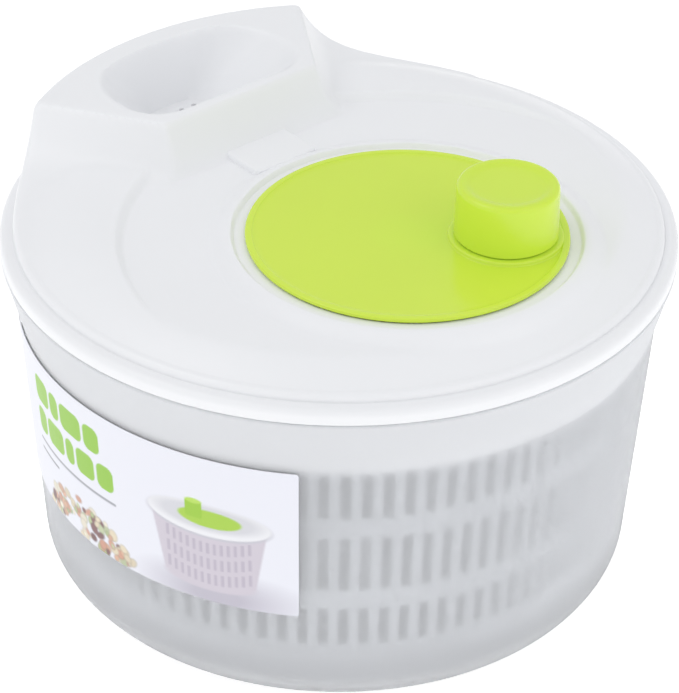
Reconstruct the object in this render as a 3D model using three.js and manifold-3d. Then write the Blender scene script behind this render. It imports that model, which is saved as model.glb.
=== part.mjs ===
// Salad spinner: a frosted bowl, a slotted basket that turns on the bowl's spigot, and a domed
// lid with a pouring funnel. A crank disc off the bowl's axis carries an internal ring gear,
// which turns a pinion on the bowl's axis, and the pinion's spider turns the basket.
// Millimetres, +Z up, origin at the centre of the base, the funnel on the +Y side.
import * as THREE from 'three';
import { mergeVertices } from 'three/addons/utils/BufferGeometryUtils.js';
import Module from 'manifold-3d';

const wasm = await Module();
wasm.setup();

// ---------------------------------------------------------------- driving dimensions
const seat_gap = 0.3;            // between pieces that rest on each other
const run_gap = 0.3;             // radial, between pieces that turn in each other
const plug_gap = 0.4;            // radial, lid skirt in the bowl's collar

const bowl_height = 132.6;
const rim_radius = 122.5;
const collar_height = 23;
const collar_flare = 5.8;        // how far the collar opens outwards over its height
const wall_taper = 7.45;         // how much narrower the wall line is at the table
const bowl_wall = 2;
const base_fillet = 17;
const foot_width = 7;
const foot_height = 1.6;
const spigot_radius = 6.5;
const spigot_height = 18;        // above the bowl's inner floor
const spigot_flare = 3;          // widening at the spigot's foot

const label_angle = 185;         // middle of the label, degrees from +X
const label_span = 76;
const label_low = 44.5;
const label_height = 64;
const label_thickness = 0.3;

const basket_floor_z = 17;
const basket_wall = 2;
const basket_side_gap = 6.2;     // basket wall to bowl wall
const basket_drop = 17.6;        // bowl rim to basket rim
const basket_fillet = 5;
const basket_flange = 5;
const basket_collar = 4;         // upright ring above the flange, which the spider drops into
const slots_per_row = 40;        // each as wide as two of the moulded ones
const slot_share = 0.5;          // open part of each pitch
const row_shares = [0.275, 0.395, 0.33];
const row_gap = 8.9;
const slot_margin_low = 8;
const slot_margin_high = 5.9;
const drain_slots = 14;
const drain_inset = 12;          // hub to the drains
const drain_length = 38;
const drain_width = 3;
const bush_foot_width = 2.6;     // flange at the bush's foot, which the basket's hub sits on
const bush_foot_height = 1.5;
const bush_cap = 2;

const lid_wall = 2.4;
const edge_height = 5.7;         // rounded edge, rim to ledge
const ledge_width = 5;
const step_height = 1.9;
const edge_round = 1.2;          // rounding of the dome's outer edge
const dome_rise = 9.7;           // step to the top of the shoulder
const dome_run = 27;             // how far in from the step the dome keeps rising
const recess_radius = 101.5;     // about the crank axis
const recess_depth = 2.7;
const skirt_depth = 13;
const skirt_wall = 1.8;

const boss_rise = 15.8;          // above the shoulder
const boss_half_angle = 32.5;    // at the top, degrees from +Y
const boss_front = 56;           // top edge on the crank side, from the bowl's axis
const boss_front_slope = 9.5;    // how far the front wall runs out at its foot
const boss_flare = 0.22;         // widening of the ends, reached 16 mm below the top
const flare_power = 2.85;
const mouth_half_width = 39;
const mouth_back_margin = 11;    // mouth to the boss's outer wall
const mouth_front = 60.5;
const mouth_corner = 16;
const funnel_floor_half = 14;
const funnel_floor_y = 88;
const funnel_floor_drop = 25.7;  // top of the boss to the funnel's floor
const funnel_drains = 4;
const funnel_drain_pitch = 6;
const funnel_drain_width = 2.4;
const funnel_drain_length = 18;

const gear_module = 1.5;
const ring_teeth = 63;
const pinion_teeth = 14;
const pressure_angle = 20;
const backlash = 0.35;
const tooth_height = 6.6;
const ring_wall = 1.6;
const lug_room = 5.475;          // ring gear's outside to the pocket's wall
const lug_radius = 2.6;
const lug_height = 2.4;
const lug_gap = 0.4;             // lug's end to the pocket's wall

const disc_thickness = 1.6;
const disc_rim = 0.6;            // height of the raised rim band
const disc_lift = 0.8;           // rim band above the lid's shoulder
const disc_rim_width = 3;
const disc_overhang = 1.1;       // disc edge past the gear pocket's wall
const gutter_width = 4.7;        // flat seat around the disc
const gutter_gap = 0.5;          // under the disc's edge
const pocket_depth = 13;
const lip_height = 1.7;          // above the gutter
const lip_width = 7.6;
const pad_width = 28;
const pad_height = 2.4;

const knob_radius = 18.5;
const knob_height = 20;
const knob_wall = 2;
const knob_roof = 3.5;
const knob_margin = 2.2;         // pedestal to the disc's edge
const knob_angle = -44;          // where the knob rests, degrees from +X
const pedestal_lip = 2;          // pedestal past the knob's side
const pedestal_height = 1.4;
const pedestal_wall = 1.2;

const spider_arms = 4;
const arm_width = 11.4;
const arm_thickness = 3;
const arm_gap = 0.35;            // each side of an arm in its notch
const spider_plate = 22;         // radius of the plate that the arms leave
const socket_wall = 4.5;         // spider's hub around the pinion's hexagonal foot
const socket_gap = 0.35;
const socket_floor = 2.2;
const spider_rib = 2.4;
const spider_rib_height = 3.5;

const screw_head_height = 2.2;
const screw_gap = 0.3;           // radial, screws in their bores
const washer_gap = 0.4;          // radial, screws in their washers
const washer_thickness = 1.1;
const thin_washer = 0.8;
const drive_screw = { head: 3.5, shank: 1.4, length: 14 };
const crank_screw = { head: 4, shank: 1.5, length: 14 };
const knob_screw = { head: 3.2, shank: 1.3, length: 12 };
const gear_screw = { head: 2.1, shank: 1, length: 6 };
const bearing_length = 9;
const bearing_wall = 2.6;
const hub_play = 0.5;            // hubs under the bearings
const bush_wall = 2.3;
const drive_bush_wall = 2;
const bush_flange = 3;
const bush_flange_thickness = 1.2;

const round_segments = 48;
const small_segments = 20;
const knob_segments = 32;
const screw_segments = 8;

// ---------------------------------------------------------------- derived places
const crank_offset = gear_module * (ring_teeth - pinion_teeth) / 2;
const pinion_pitch = gear_module * pinion_teeth / 2;
const ring_pitch = gear_module * ring_teeth / 2;
const ring_outer = ring_pitch + gear_module * 1.25 + ring_wall;
const pocket_radius = ring_outer + lug_room;
const disc_radius = pocket_radius + disc_overhang;
const pedestal_radius = knob_radius + pedestal_lip;
const knob_throw = disc_radius - pedestal_radius - knob_margin;
const lid_z = bowl_height + seat_gap;
const ledge_z = lid_z + edge_height;
const step_z = ledge_z + step_height;
const step_radius = rim_radius - ledge_width;
const mouth_back = step_radius - mouth_back_margin;
const shoulder_z = step_z + dome_rise;
const recess_z = shoulder_z - recess_depth;
const disc_top = shoulder_z + disc_lift;
const disc_underside = disc_top - disc_thickness;
const boss_z = shoulder_z + boss_rise;
const gutter_radius = disc_radius + gutter_width;
const gutter_z = disc_underside - gutter_gap;
const pocket_z = disc_top - pocket_depth;
const pocket_underside = pocket_z - lid_wall;
const collar_z = bowl_height - collar_height;
const collar_radius = rim_radius - collar_flare;
const bowl_floor_z = foot_height + bowl_wall;
const spigot_top = bowl_floor_z + spigot_height;
const basket_top = bowl_height - basket_drop;
const basket_flange_z = basket_top - basket_collar;
const arm_z = basket_flange_z + seat_gap;

// ---------------------------------------------------------------- solids
const rad = THREE.MathUtils.degToRad;

function solidFrom(geometry) {
  const bare = geometry.clone();
  bare.deleteAttribute('normal');
  bare.deleteAttribute('uv');
  const merged = mergeVertices(bare, 1e-4);
  const points = merged.attributes.position;
  const order = merged.index.array;
  const triangles = [];
  let volume = 0;
  const a = new THREE.Vector3();
  const b = new THREE.Vector3();
  const c = new THREE.Vector3();
  for (let i = 0; i < order.length; i += 3) {
    const [p, q, r] = [order[i], order[i + 1], order[i + 2]];
    if (p === q || q === r || r === p) continue;
    triangles.push(p, q, r);
    a.fromBufferAttribute(points, p);
    b.fromBufferAttribute(points, q);
    c.fromBufferAttribute(points, r);
    volume += a.dot(b.cross(c));
  }
  if (volume < 0) triangles.reverse();
  const mesh = new wasm.Mesh({
    numProp: 3,
    vertProperties: new Float32Array(points.array),
    triVerts: new Uint32Array(triangles),
  });
  return new wasm.Manifold(mesh);
}

function geometryFrom(solid) {
  const mesh = solid.getMesh();
  const geometry = new THREE.BufferGeometry();
  geometry.setAttribute('position', new THREE.BufferAttribute(mesh.vertProperties, 3));
  geometry.setIndex(new THREE.BufferAttribute(mesh.triVerts, 1));
  geometry.computeVertexNormals();
  return geometry;
}

// A solid of revolution about Z from [radius, height] points, which start and end on the axis
// or close on themselves.
function turned(profile, segments = round_segments, [x, y] = [0, 0]) {
  const points = profile.map(([r, z]) => new THREE.Vector2(r, z));
  const geometry = new THREE.LatheGeometry(points, segments);
  geometry.rotateX(Math.PI / 2);
  geometry.translate(x, y, 0);
  return solidFrom(geometry);
}

function ringTurned(profile, segments = round_segments, place = [0, 0]) {
  return turned([...profile, profile[0]], segments, place);
}

function cylinder(radius, low, high, segments = small_segments, place = [0, 0]) {
  return turned([[0, low], [radius, low], [radius, high], [0, high]], segments, place);
}

function tube(inner, outer, low, high, segments = small_segments, place = [0, 0]) {
  return ringTurned([[inner, low], [outer, low], [outer, high], [inner, high]], segments, place);
}

function block(x0, x1, y0, y1, z0, z1) {
  const geometry = new THREE.BoxGeometry(x1 - x0, y1 - y0, z1 - z0);
  geometry.translate((x0 + x1) / 2, (y0 + y1) / 2, (z0 + z1) / 2);
  return solidFrom(geometry);
}

// An outline of [x, y] points raised from low to high.
function raised(outline, low, high, steps = 1) {
  const shape = new THREE.Shape(outline.map(([x, y]) => new THREE.Vector2(x, y)));
  const depth = high - low;
  const geometry = new THREE.ExtrudeGeometry(shape, { depth, bevelEnabled: false, steps });
  geometry.translate(0, 0, low);
  return geometry;
}

function reshaped(geometry, move) {
  const points = geometry.attributes.position;
  for (let i = 0; i < points.count; i++) {
    points.setXYZ(i, ...move(points.getX(i), points.getY(i), points.getZ(i)));
  }
  return geometry;
}

function turnedBy(solid, degrees) {
  return solid.rotate([0, 0, degrees]);
}

function arc(cx, cy, radius, from, to, count) {
  const points = [];
  for (let i = 0; i <= count; i++) {
    const t = rad(from + (to - from) * i / count);
    points.push([cx + radius * Math.cos(t), cy + radius * Math.sin(t)]);
  }
  return points;
}

// ---------------------------------------------------------------- bowl
// Outer radius of the bowl's wall, below its collar and on it.
function wallRadius(z) {
  if (z > collar_z) return collar_radius + collar_flare * (z - collar_z) / collar_height;
  return collar_radius - wall_taper * (collar_z - z) / collar_z;
}

function bowl() {
  const foot_out = wallRadius(base_fillet) - base_fillet;
  const outer_fillet = arc(foot_out, base_fillet, base_fillet, -90, 0, 4);
  const inner_fillet = arc(
    foot_out, bowl_floor_z + base_fillet - bowl_wall, base_fillet - bowl_wall, 0, -90, 3);
  return turned([
    [0, foot_height],
    [foot_out - foot_width - foot_height, foot_height],
    [foot_out - foot_width, 0],
    ...outer_fillet,
    [collar_radius, collar_z],
    [rim_radius, bowl_height],
    [rim_radius - bowl_wall, bowl_height],
    [wallRadius(collar_z) - bowl_wall, collar_z],
    ...inner_fillet,
    [spigot_radius + spigot_flare, bowl_floor_z],
    [spigot_radius, bowl_floor_z + spigot_flare],
    [spigot_radius - 0.4, spigot_top - 1],
    [spigot_radius - 1.4, spigot_top],
    [0, spigot_top],
  ]);
}

function bowlLabel() {
  const low = label_low;
  const high = low + label_height;
  const skin = (z, out) => [wallRadius(z) + seat_gap + out, z];
  const band = ringTurned([
    skin(low, 0), skin(low, label_thickness), skin(high, label_thickness), skin(high, 0),
  ]);
  const reach = rim_radius * 2;
  const wedge = [
    [0, 0], ...arc(0, 0, reach, label_angle - label_span / 2, label_angle + label_span / 2, 6),
  ];
  return band.intersect(solidFrom(raised(wedge, low - 1, high + 1)));
}

// ---------------------------------------------------------------- basket and its bush
const bush_bore = spigot_radius + run_gap;
const bush_radius = bush_bore + bush_wall;
const bush_low = bowl_floor_z + spigot_flare + 2 * run_gap + 0.2;
const bush_roof = spigot_top + seat_gap;
const hub_bore = bush_radius + run_gap;
const hub_radius = hub_bore + basket_wall;
const hub_low = bush_low + bush_foot_height + seat_gap;
const hub_roof = bush_roof + bush_cap + seat_gap;

function basketBush() {
  return turned([
    [0, bush_roof],
    [bush_bore, bush_roof],
    [bush_bore, bush_low],
    [bush_radius + bush_foot_width, bush_low],
    [bush_radius + bush_foot_width, bush_low + bush_foot_height],
    [bush_radius, bush_low + bush_foot_height],
    [bush_radius, bush_roof + bush_cap],
    [0, bush_roof + bush_cap],
  ], small_segments);
}

function basketRadius(z) {
  return wallRadius(Math.min(z, collar_z)) - bowl_wall - basket_side_gap;
}

const notch_half = arm_width / 2 + arm_gap;
const basket_collar_radius = basketRadius(basket_flange_z);

function basketBody() {
  const low = basket_floor_z;
  const corner = basketRadius(low + basket_fillet);
  const rim = basket_collar_radius;
  const outer_fillet = arc(corner - basket_fillet, low + basket_fillet, basket_fillet, -90, 0, 2);
  const inner_fillet = arc(
    corner - basket_fillet, low + basket_fillet, basket_fillet - basket_wall, 0, -90, 2);
  return turned([
    [0, hub_roof],
    [hub_bore, hub_roof],
    [hub_bore, hub_low],
    [hub_radius, hub_low],
    [hub_radius, low],
    ...outer_fillet,
    [rim, basket_flange_z - basket_wall],
    [rim + basket_flange, basket_flange_z - basket_wall],
    [rim + basket_flange, basket_flange_z],
    [rim, basket_flange_z],
    [rim, basket_top],
    [rim - basket_wall, basket_top],
    ...inner_fillet,
    [hub_radius + 2, low + basket_wall],
    [hub_radius, low + basket_wall + 2],
    [hub_radius, hub_roof + 0.5],
    [hub_radius - 2, hub_roof + basket_wall],
    [0, hub_roof + basket_wall],
  ], slots_per_row);
}

function slotRows() {
  const low = basket_floor_z + slot_margin_low;
  const high = basket_flange_z - basket_wall - slot_margin_high;
  const open = high - low - row_gap * (row_shares.length - 1);
  const rows = [];
  let z = low;
  for (const share of row_shares) {
    rows.push([z, z + share * open]);
    z += share * open + row_gap;
  }
  return rows;
}

function basket() {
  const cuts = [];
  const pitch = 360 / slots_per_row;
  for (const [low, high] of slotRows()) {
    const middle = basketRadius((low + high) / 2);
    const half = middle * rad(pitch) * slot_share / 2;
    const depth = low < basket_floor_z + basket_fillet ? basket_fillet : basket_wall + 3;
    const slot = block(middle - depth, rim_radius, -half, half, low, high);
    for (let i = 0; i < slots_per_row; i++) cuts.push(turnedBy(slot, (i + 0.5) * pitch));
  }
  const drain = block(
    hub_radius + drain_inset, hub_radius + drain_inset + drain_length, -drain_width / 2, drain_width / 2,
    0, basket_floor_z + 2 * basket_wall);
  for (let i = 0; i < drain_slots; i++) cuts.push(turnedBy(drain, (i + 0.5) * 360 / drain_slots));
  const notch = block(
    basket_collar_radius - 8, basket_collar_radius + 1, -notch_half, notch_half,
    basket_flange_z, basket_top + 1);
  for (let i = 0; i < spider_arms; i++) cuts.push(turnedBy(notch, (i + 0.5) * 360 / spider_arms));
  return basketBody().subtract(wasm.Manifold.union(cuts));
}

// ---------------------------------------------------------------- lid
function domeProfile(drop) {
  // The outer skin for drop 0, and the inner skin for drop lid_wall.
  const crown = [];
  const count = 3;
  for (let i = 0; i <= count; i++) {
    const t = i / count;
    crown.push([
      step_radius - drop - edge_round - dome_run * t,
      step_z - drop + dome_rise * Math.sin(t * Math.PI / 2),
    ]);
  }
  return [...crown, [0, shoulder_z - drop]];
}

function domeOuter() {
  return turned([
    [0, lid_z],
    [rim_radius, lid_z],
    [rim_radius, lid_z + 2.6],
    [rim_radius - 0.9, ledge_z - 1.2],
    [rim_radius - 2.6, ledge_z],
    [step_radius, ledge_z],
    [step_radius - 0.3, step_z - 0.7],
    ...domeProfile(0),
  ]);
}

function domeInner() {
  const inside = step_radius - lid_wall;
  return turned([
    [0, lid_z - 2],
    [skirtOuter(lid_z) - skirt_wall - 0.2, lid_z - 2],
    [skirtOuter(lid_z) - skirt_wall - 0.2, lid_z],
    [inside, ledge_z - lid_wall],
    [inside - 0.3, step_z - lid_wall - 0.7],
    ...domeProfile(lid_wall),
  ]);
}

function recessCut(drop) {
  const low = recess_z - drop;
  const radius = recess_radius + drop;
  const half_slope = 1.5;
  return turned([
    [0, low],
    [radius - half_slope, low],
    [radius + half_slope, low + recess_depth + 0.01],
    [radius + half_slope, boss_z],
    [0, boss_z],
  ], round_segments, [0, -crank_offset]);
}

// The plan of the boss at its top, drawn in by inset, as points about the bowl's axis.
function bossOutline(inset) {
  const radius = step_radius - inset;
  const end = boss_half_angle - inset / radius * 57.3;
  const back = arc(0, 0, radius, 90 - end, 90 + end, 12);
  const y = boss_front + inset;
  const x = y * Math.tan(rad(end)) - inset * 0.4;
  const corner = 5;
  const front = [
    [-x - 1, y + corner], [-x + 1, y + 1.2], [-x + corner, y],
    [0, y],
    [x - corner, y], [x - 1, y + 1.2], [x + 1, y + corner],
  ];
  return [...back, ...front];
}

function bossSolid(inset) {
  const low = recess_z - 8;
  const high = boss_z - inset;
  const geometry = raised(bossOutline(inset), low, high, 4);
  const middle = (boss_front + mouth_back) / 2;
  return solidFrom(reshaped(geometry, (x, y, z) => {
    const down = (high - z) / (high - inset - low);
    const depth = Math.max(high - z, 0);
    const r = Math.hypot(x, y);
    const angle = Math.atan2(x, y) * (1 + boss_flare * (depth / 16) ** flare_power);
    const front = THREE.MathUtils.clamp((middle - y) / (middle - boss_front), 0, 1);
    const slope = boss_front_slope * Math.min(depth / (boss_z - recess_z), 1) * front;
    const out = THREE.MathUtils.lerp(r, r - slope, Math.min(down * 10, 1));
    return [out * Math.sin(angle), out * Math.cos(angle), z];
  }));
}

function mouthOutline(grow) {
  const w = mouth_half_width + grow;
  const front = mouth_front - grow;
  const back_radius = mouth_back + grow;
  const c = mouth_corner + grow;
  const corner_y = Math.sqrt((back_radius - c) ** 2 - (w - c) ** 2);
  const lean = Math.atan2(w - c, corner_y) * 180 / Math.PI;
  return [
    ...arc(w - c, front + c, c, -90, 0, 4),
    ...arc(w - c, corner_y, c, 0, 90 - lean, 3),
    ...arc(0, 0, back_radius, 90 - lean, 90 + lean, 6).slice(1, -1),
    ...arc(-(w - c), corner_y, c, 90 + lean, 180, 3),
    ...arc(-(w - c), front + c, c, 180, 270, 4),
  ];
}

function funnelSolid(grow) {
  const floor = boss_z - funnel_floor_drop - grow;
  const high = boss_z + 1;
  const geometry = raised(mouthOutline(grow), floor, high, 3);
  const mouth_y = (mouth_front + mouth_back) / 2;
  const half_depth = (mouth_back - mouth_front) / 2 + grow;
  return solidFrom(reshaped(geometry, (x, y, z) => {
    const t = Math.max(z - floor, 0) / (high - floor);
    const wide = THREE.MathUtils.lerp((funnel_floor_half + grow) / (mouth_half_width + grow), 1, t);
    const deep = THREE.MathUtils.lerp((funnel_floor_half + grow) / half_depth, 1, t ** 0.7);
    const centre = THREE.MathUtils.lerp(funnel_floor_y, mouth_y, t);
    return [x * wide, centre + (y - mouth_y) * deep, z];
  }));
}

function skirtOuter(z) {
  return wallRadius(Math.min(z, bowl_height)) - bowl_wall - plug_gap;
}

function skirt() {
  const low = lid_z - skirt_depth;
  return ringTurned([
    [skirtOuter(low), low],
    [skirtOuter(lid_z), lid_z - 0.4],
    [skirtOuter(lid_z), lid_z + 1.5],
    [skirtOuter(lid_z) - skirt_wall - 0.4, lid_z + 1.5],
    [skirtOuter(lid_z) - skirt_wall, lid_z - 0.4],
    [skirtOuter(low) - skirt_wall, low],
  ]);
}

const crank_place = [0, -crank_offset];
const crank_journal = 8;
const crank_bore = crank_journal + run_gap;
const crank_bush_radius = crank_bore + bush_wall;
const drive_journal = 5.6;
const drive_bore = drive_journal + run_gap;
const drive_bush_radius = drive_bore + drive_bush_wall;
const bearing_low = pocket_z - bearing_length;
const bush_flange_top = pocket_z + seat_gap + bush_flange_thickness;

function lid() {
  const lip_top = gutter_z + lip_height;
  const lip = ringTurned([
    [pocket_radius - 1, recess_z - 4],
    [gutter_radius + lip_width, recess_z - 4],
    [gutter_radius + lip_width, recess_z - 0.5],
    [gutter_radius + lip_width * 0.6, recess_z + 1.4],
    [gutter_radius + lip_width * 0.25, lip_top],
    [gutter_radius, lip_top - 0.2],
    [gutter_radius - 1.2, gutter_z],
    [pocket_radius - 1, gutter_z],
  ], round_segments, crank_place);
  const pad = block(
    -pad_width / 2, pad_width / 2, gutter_radius - crank_offset + 5, boss_front - 4,
    recess_z - 1, recess_z + pad_height);
  const pocket = cylinder(pocket_radius, pocket_z, boss_z, round_segments, crank_place);
  const outer = domeOuter().subtract(recessCut(0)).add(bossSolid(0)).add(lip).add(pad)
    .subtract(pocket).subtract(funnelSolid(0));
  const pocket_block = cylinder(
    pocket_radius + lid_wall, pocket_underside, boss_z, round_segments, crank_place);
  const inner = domeInner().subtract(recessCut(lid_wall)).add(bossSolid(lid_wall))
    .subtract(pocket_block).subtract(funnelSolid(lid_wall));
  const bearings = [];
  const bores = [];
  for (const [radius, place] of [[crank_bush_radius, crank_place], [drive_bush_radius, [0, 0]]]) {
    bearings.push(tube(radius, radius + bearing_wall, bearing_low, pocket_z, small_segments, place));
    bores.push(cylinder(radius + run_gap, bearing_low - 1, pocket_z + 1, small_segments, place));
  }
  const drains = [];
  for (let i = 0; i < funnel_drains; i++) {
    const x = (i - (funnel_drains - 1) / 2) * funnel_drain_pitch;
    drains.push(block(
      x - funnel_drain_width / 2, x + funnel_drain_width / 2,
      funnel_floor_y - funnel_drain_length / 2, funnel_floor_y + funnel_drain_length / 2,
      lid_z, boss_z - funnel_floor_drop + 2));
  }
  return outer.subtract(inner).add(skirt()).add(wasm.Manifold.union(bearings))
    .subtract(wasm.Manifold.union([...bores, ...drains]));
}

function bearingBush(bore, radius, place) {
  return ringTurned([
    [bore, bearing_low],
    [radius, bearing_low],
    [radius, pocket_z + seat_gap],
    [radius + bush_flange, pocket_z + seat_gap],
    [radius + bush_flange, bush_flange_top],
    [bore, bush_flange_top],
  ], small_segments, place);
}

// ---------------------------------------------------------------- gears
// Outline of an involute gear; for an internal ring the same outline is its toothed hole.
function gearOutline(teeth, tip, root, thinning, first) {
  const pitch_radius = gear_module * teeth / 2;
  const alpha = rad(pressure_angle);
  const base = pitch_radius * Math.cos(alpha);
  const inv = (a) => Math.tan(a) - a;
  const halfAngle = (r) => {
    const a = Math.acos(Math.min(base / Math.max(r, base), 1));
    const half_thickness = Math.PI * gear_module / 4 - thinning / 2;
    return half_thickness / pitch_radius + inv(alpha) - inv(a);
  };
  const points = [];
  for (let i = 0; i < teeth; i++) {
    const centre = first + i * 2 * Math.PI / teeth;
    for (const [r, side] of [[root, -1], [tip, -1], [tip, 1], [root, 1]]) {
      const angle = centre + side * halfAngle(r);
      points.push([r * Math.cos(angle), r * Math.sin(angle)]);
    }
  }
  return points;
}

const gear_low = bush_flange_top + seat_gap;
const gear_high = gear_low + tooth_height;
const ring_low = gear_low + 0.4;
const ring_high = disc_underside - seat_gap;
const lug_place = pocket_radius - lug_gap - lug_radius;
const lug_low = ring_low + 1.2;
const lug_high = lug_low + lug_height;
const ring_screws = 3;
const hex_radius = 5;
const spider_hub_top = bearing_low - hub_play;
const shaft_low = arm_z + socket_floor + seat_gap;

function drivePinion() {
  const teeth = solidFrom(raised(
    gearOutline(pinion_teeth, pinion_pitch + gear_module * 0.85, pinion_pitch - gear_module * 1.1,
      backlash, Math.PI / 2),
    gear_low, gear_high));
  const journal = cylinder(drive_journal, spider_hub_top + seat_gap, gear_low + 0.5);
  const hex = cylinder(hex_radius, shaft_low, spider_hub_top + 1, 6);
  const screw_hole = cylinder(
    drive_screw.shank + screw_gap, shaft_low - 1, shaft_low + 11, screw_segments);
  return teeth.add(journal).add(hex).subtract(screw_hole);
}

function gearScrewAngle(i) {
  return 360 * (i + 0.5) / ring_screws;
}

function ringGear() {
  const hole = gearOutline(
    ring_teeth, ring_pitch + gear_module * 1.1, ring_pitch - gear_module * 0.85, 0, Math.PI / 2);
  let ring = cylinder(ring_outer, ring_low, ring_high, round_segments);
  const bore = gear_screw.shank + screw_gap;
  const lug = cylinder(lug_radius, lug_low, lug_high, screw_segments, [lug_place, 0])
    .add(block(ring_outer - 1, lug_place, -lug_radius, lug_radius, lug_low, lug_high))
    .subtract(cylinder(bore, lug_low - 1, lug_high + 1, screw_segments, [lug_place, 0]));
  for (let i = 0; i < ring_screws; i++) ring = ring.add(turnedBy(lug, gearScrewAngle(i)));
  return ring.subtract(solidFrom(raised(hole, ring_low - 1, ring_high + 1)))
    .translate([0, -crank_offset, 0]);
}

// A pan-head screw pointing up: its head hangs below the given height.
function screwUp(head_top, { head, shank, length }, place) {
  const low = head_top - screw_head_height;
  return turned([
    [0, low + 0.5],
    [head * 0.3, low],
    [head * 0.75, low],
    [head, low + 0.9],
    [head, head_top],
    [shank, head_top],
    [shank, head_top + length - 1.5],
    [0, head_top + length],
  ], screw_segments, place);
}

function gearScrewPlace(i) {
  const angle = rad(gearScrewAngle(i));
  return [lug_place * Math.cos(angle), lug_place * Math.sin(angle) - crank_offset];
}

// ---------------------------------------------------------------- crank
const knob_place = [
  knob_throw * Math.cos(rad(knob_angle)),
  knob_throw * Math.sin(rad(knob_angle)) - crank_offset,
];
const pedestal_top = disc_top - disc_rim + pedestal_height;
const pedestal_roof = pedestal_top - pedestal_wall;
const knob_stem = 5;
const knob_washer_radius = 8;
const knob_washer_z = pedestal_roof - seat_gap - thin_washer;
const crank_hub_low = bearing_low - hub_play;

function crankDisc() {
  const face = disc_top - disc_rim;
  const under = face - disc_thickness + disc_rim;
  let disc = turned([
    [0, crank_hub_low],
    [crank_journal, crank_hub_low],
    [crank_journal, bush_flange_top + seat_gap],
    [crank_journal + 4, bush_flange_top + seat_gap],
    [crank_journal + 5, under],
    [disc_radius - 0.6, under],
    [disc_radius, under + 0.6],
    [disc_radius, disc_top - 0.5],
    [disc_radius - 0.6, disc_top],
    [disc_radius - disc_rim_width, disc_top],
    [disc_radius - disc_rim_width - 0.8, face],
    [0, face],
  ], round_segments, crank_place);
  const post_low = lug_high + seat_gap;
  const post_bore = gear_screw.shank + screw_gap;
  for (let i = 0; i < ring_screws; i++) {
    const place = gearScrewPlace(i);
    disc = disc.add(cylinder(gear_screw.head, post_low, under + 0.5, screw_segments, place))
      .subtract(cylinder(post_bore, post_low - 1, under + 0.4, screw_segments, place));
  }
  const pedestal = turned([
    [0, face - 0.5], [pedestal_radius, face - 0.5], [pedestal_radius, face + 0.5],
    [pedestal_radius - 0.8, pedestal_top], [0, pedestal_top],
  ], knob_segments, knob_place);
  const washer_room = cylinder(
    knob_washer_radius + 2, under - 1, pedestal_roof, small_segments, knob_place);
  const stem_hole = cylinder(
    knob_stem + run_gap, under - 1, pedestal_top + 1, small_segments, knob_place);
  const screw_hole = cylinder(
    crank_screw.shank + screw_gap, crank_hub_low - 1, crank_hub_low + crank_screw.length,
    screw_segments, crank_place);
  return disc.add(pedestal).subtract(washer_room).subtract(stem_hole).subtract(screw_hole);
}

function knob() {
  const low = pedestal_top + seat_gap;
  const high = low + knob_height;
  const stem_low = pedestal_roof;
  const bore = knob_screw.shank + screw_gap;
  const bore_high = stem_low + knob_screw.length;
  return turned([
    [0, bore_high],
    [bore, bore_high],
    [bore, stem_low],
    [knob_stem, stem_low],
    [knob_stem, high - knob_roof],
    [knob_radius - knob_wall, high - knob_roof],
    [knob_radius - knob_wall, low],
    [knob_radius, low],
    [knob_radius - 0.3, high - 1.6],
    [knob_radius - 0.9, high - 0.5],
    [knob_radius - 2, high],
    [knob_radius - 4, high],
    [knob_radius - 6, high - 0.7],
    [0, high - 0.9],
  ], knob_segments, knob_place);
}

function washer(screw, radius, low, place, thickness = washer_thickness) {
  return tube(screw.shank + washer_gap, radius, low, low + thickness, small_segments, place);
}

// ---------------------------------------------------------------- spider
function driveSpider() {
  const reach = basket_collar_radius + 2.5;
  const low = arm_z;
  let spider = cylinder(spider_plate, low, low + arm_thickness, 32);
  const arm = block(0, reach, -arm_width / 2, arm_width / 2, low, low + arm_thickness);
  const rib = block(
    0, reach - 12, -spider_rib / 2, spider_rib / 2, low, low + arm_thickness + spider_rib_height);
  for (let i = 0; i < spider_arms; i++) {
    const angle = (i + 0.5) * 360 / spider_arms;
    spider = spider.add(turnedBy(arm, angle)).add(turnedBy(rib, angle));
  }
  const hub = cylinder(hex_radius + socket_wall, low, spider_hub_top);
  const socket = cylinder(hex_radius + socket_gap, low + socket_floor, spider_hub_top + 1, 6);
  const screw_hole = cylinder(drive_screw.shank + washer_gap, low - 1, low + 3, screw_segments);
  return spider.add(hub).subtract(socket).subtract(screw_hole);
}

// ---------------------------------------------------------------- assembly
const finishes = {
  frosted: { color: 0xdfe2e6, roughness: 0.5, metalness: 0 },
  white: { color: 0xf0f1f4, roughness: 0.4, metalness: 0 },
  green: { color: 0xc3e04e, roughness: 0.25, metalness: 0 },
  natural: { color: 0xe6e4da, roughness: 0.45, metalness: 0 },
  steel: { color: 0xb8bbc0, roughness: 0.3, metalness: 1 },
  film: { color: 0xf4f4f2, roughness: 0.35, metalness: 0 },
};

const salad_spinner = new THREE.Group();

function addPiece(name, solid, finish) {
  const mesh = new THREE.Mesh(geometryFrom(solid), new THREE.MeshStandardMaterial(finishes[finish]));
  mesh.name = name;
  salad_spinner.add(mesh);
}

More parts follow.
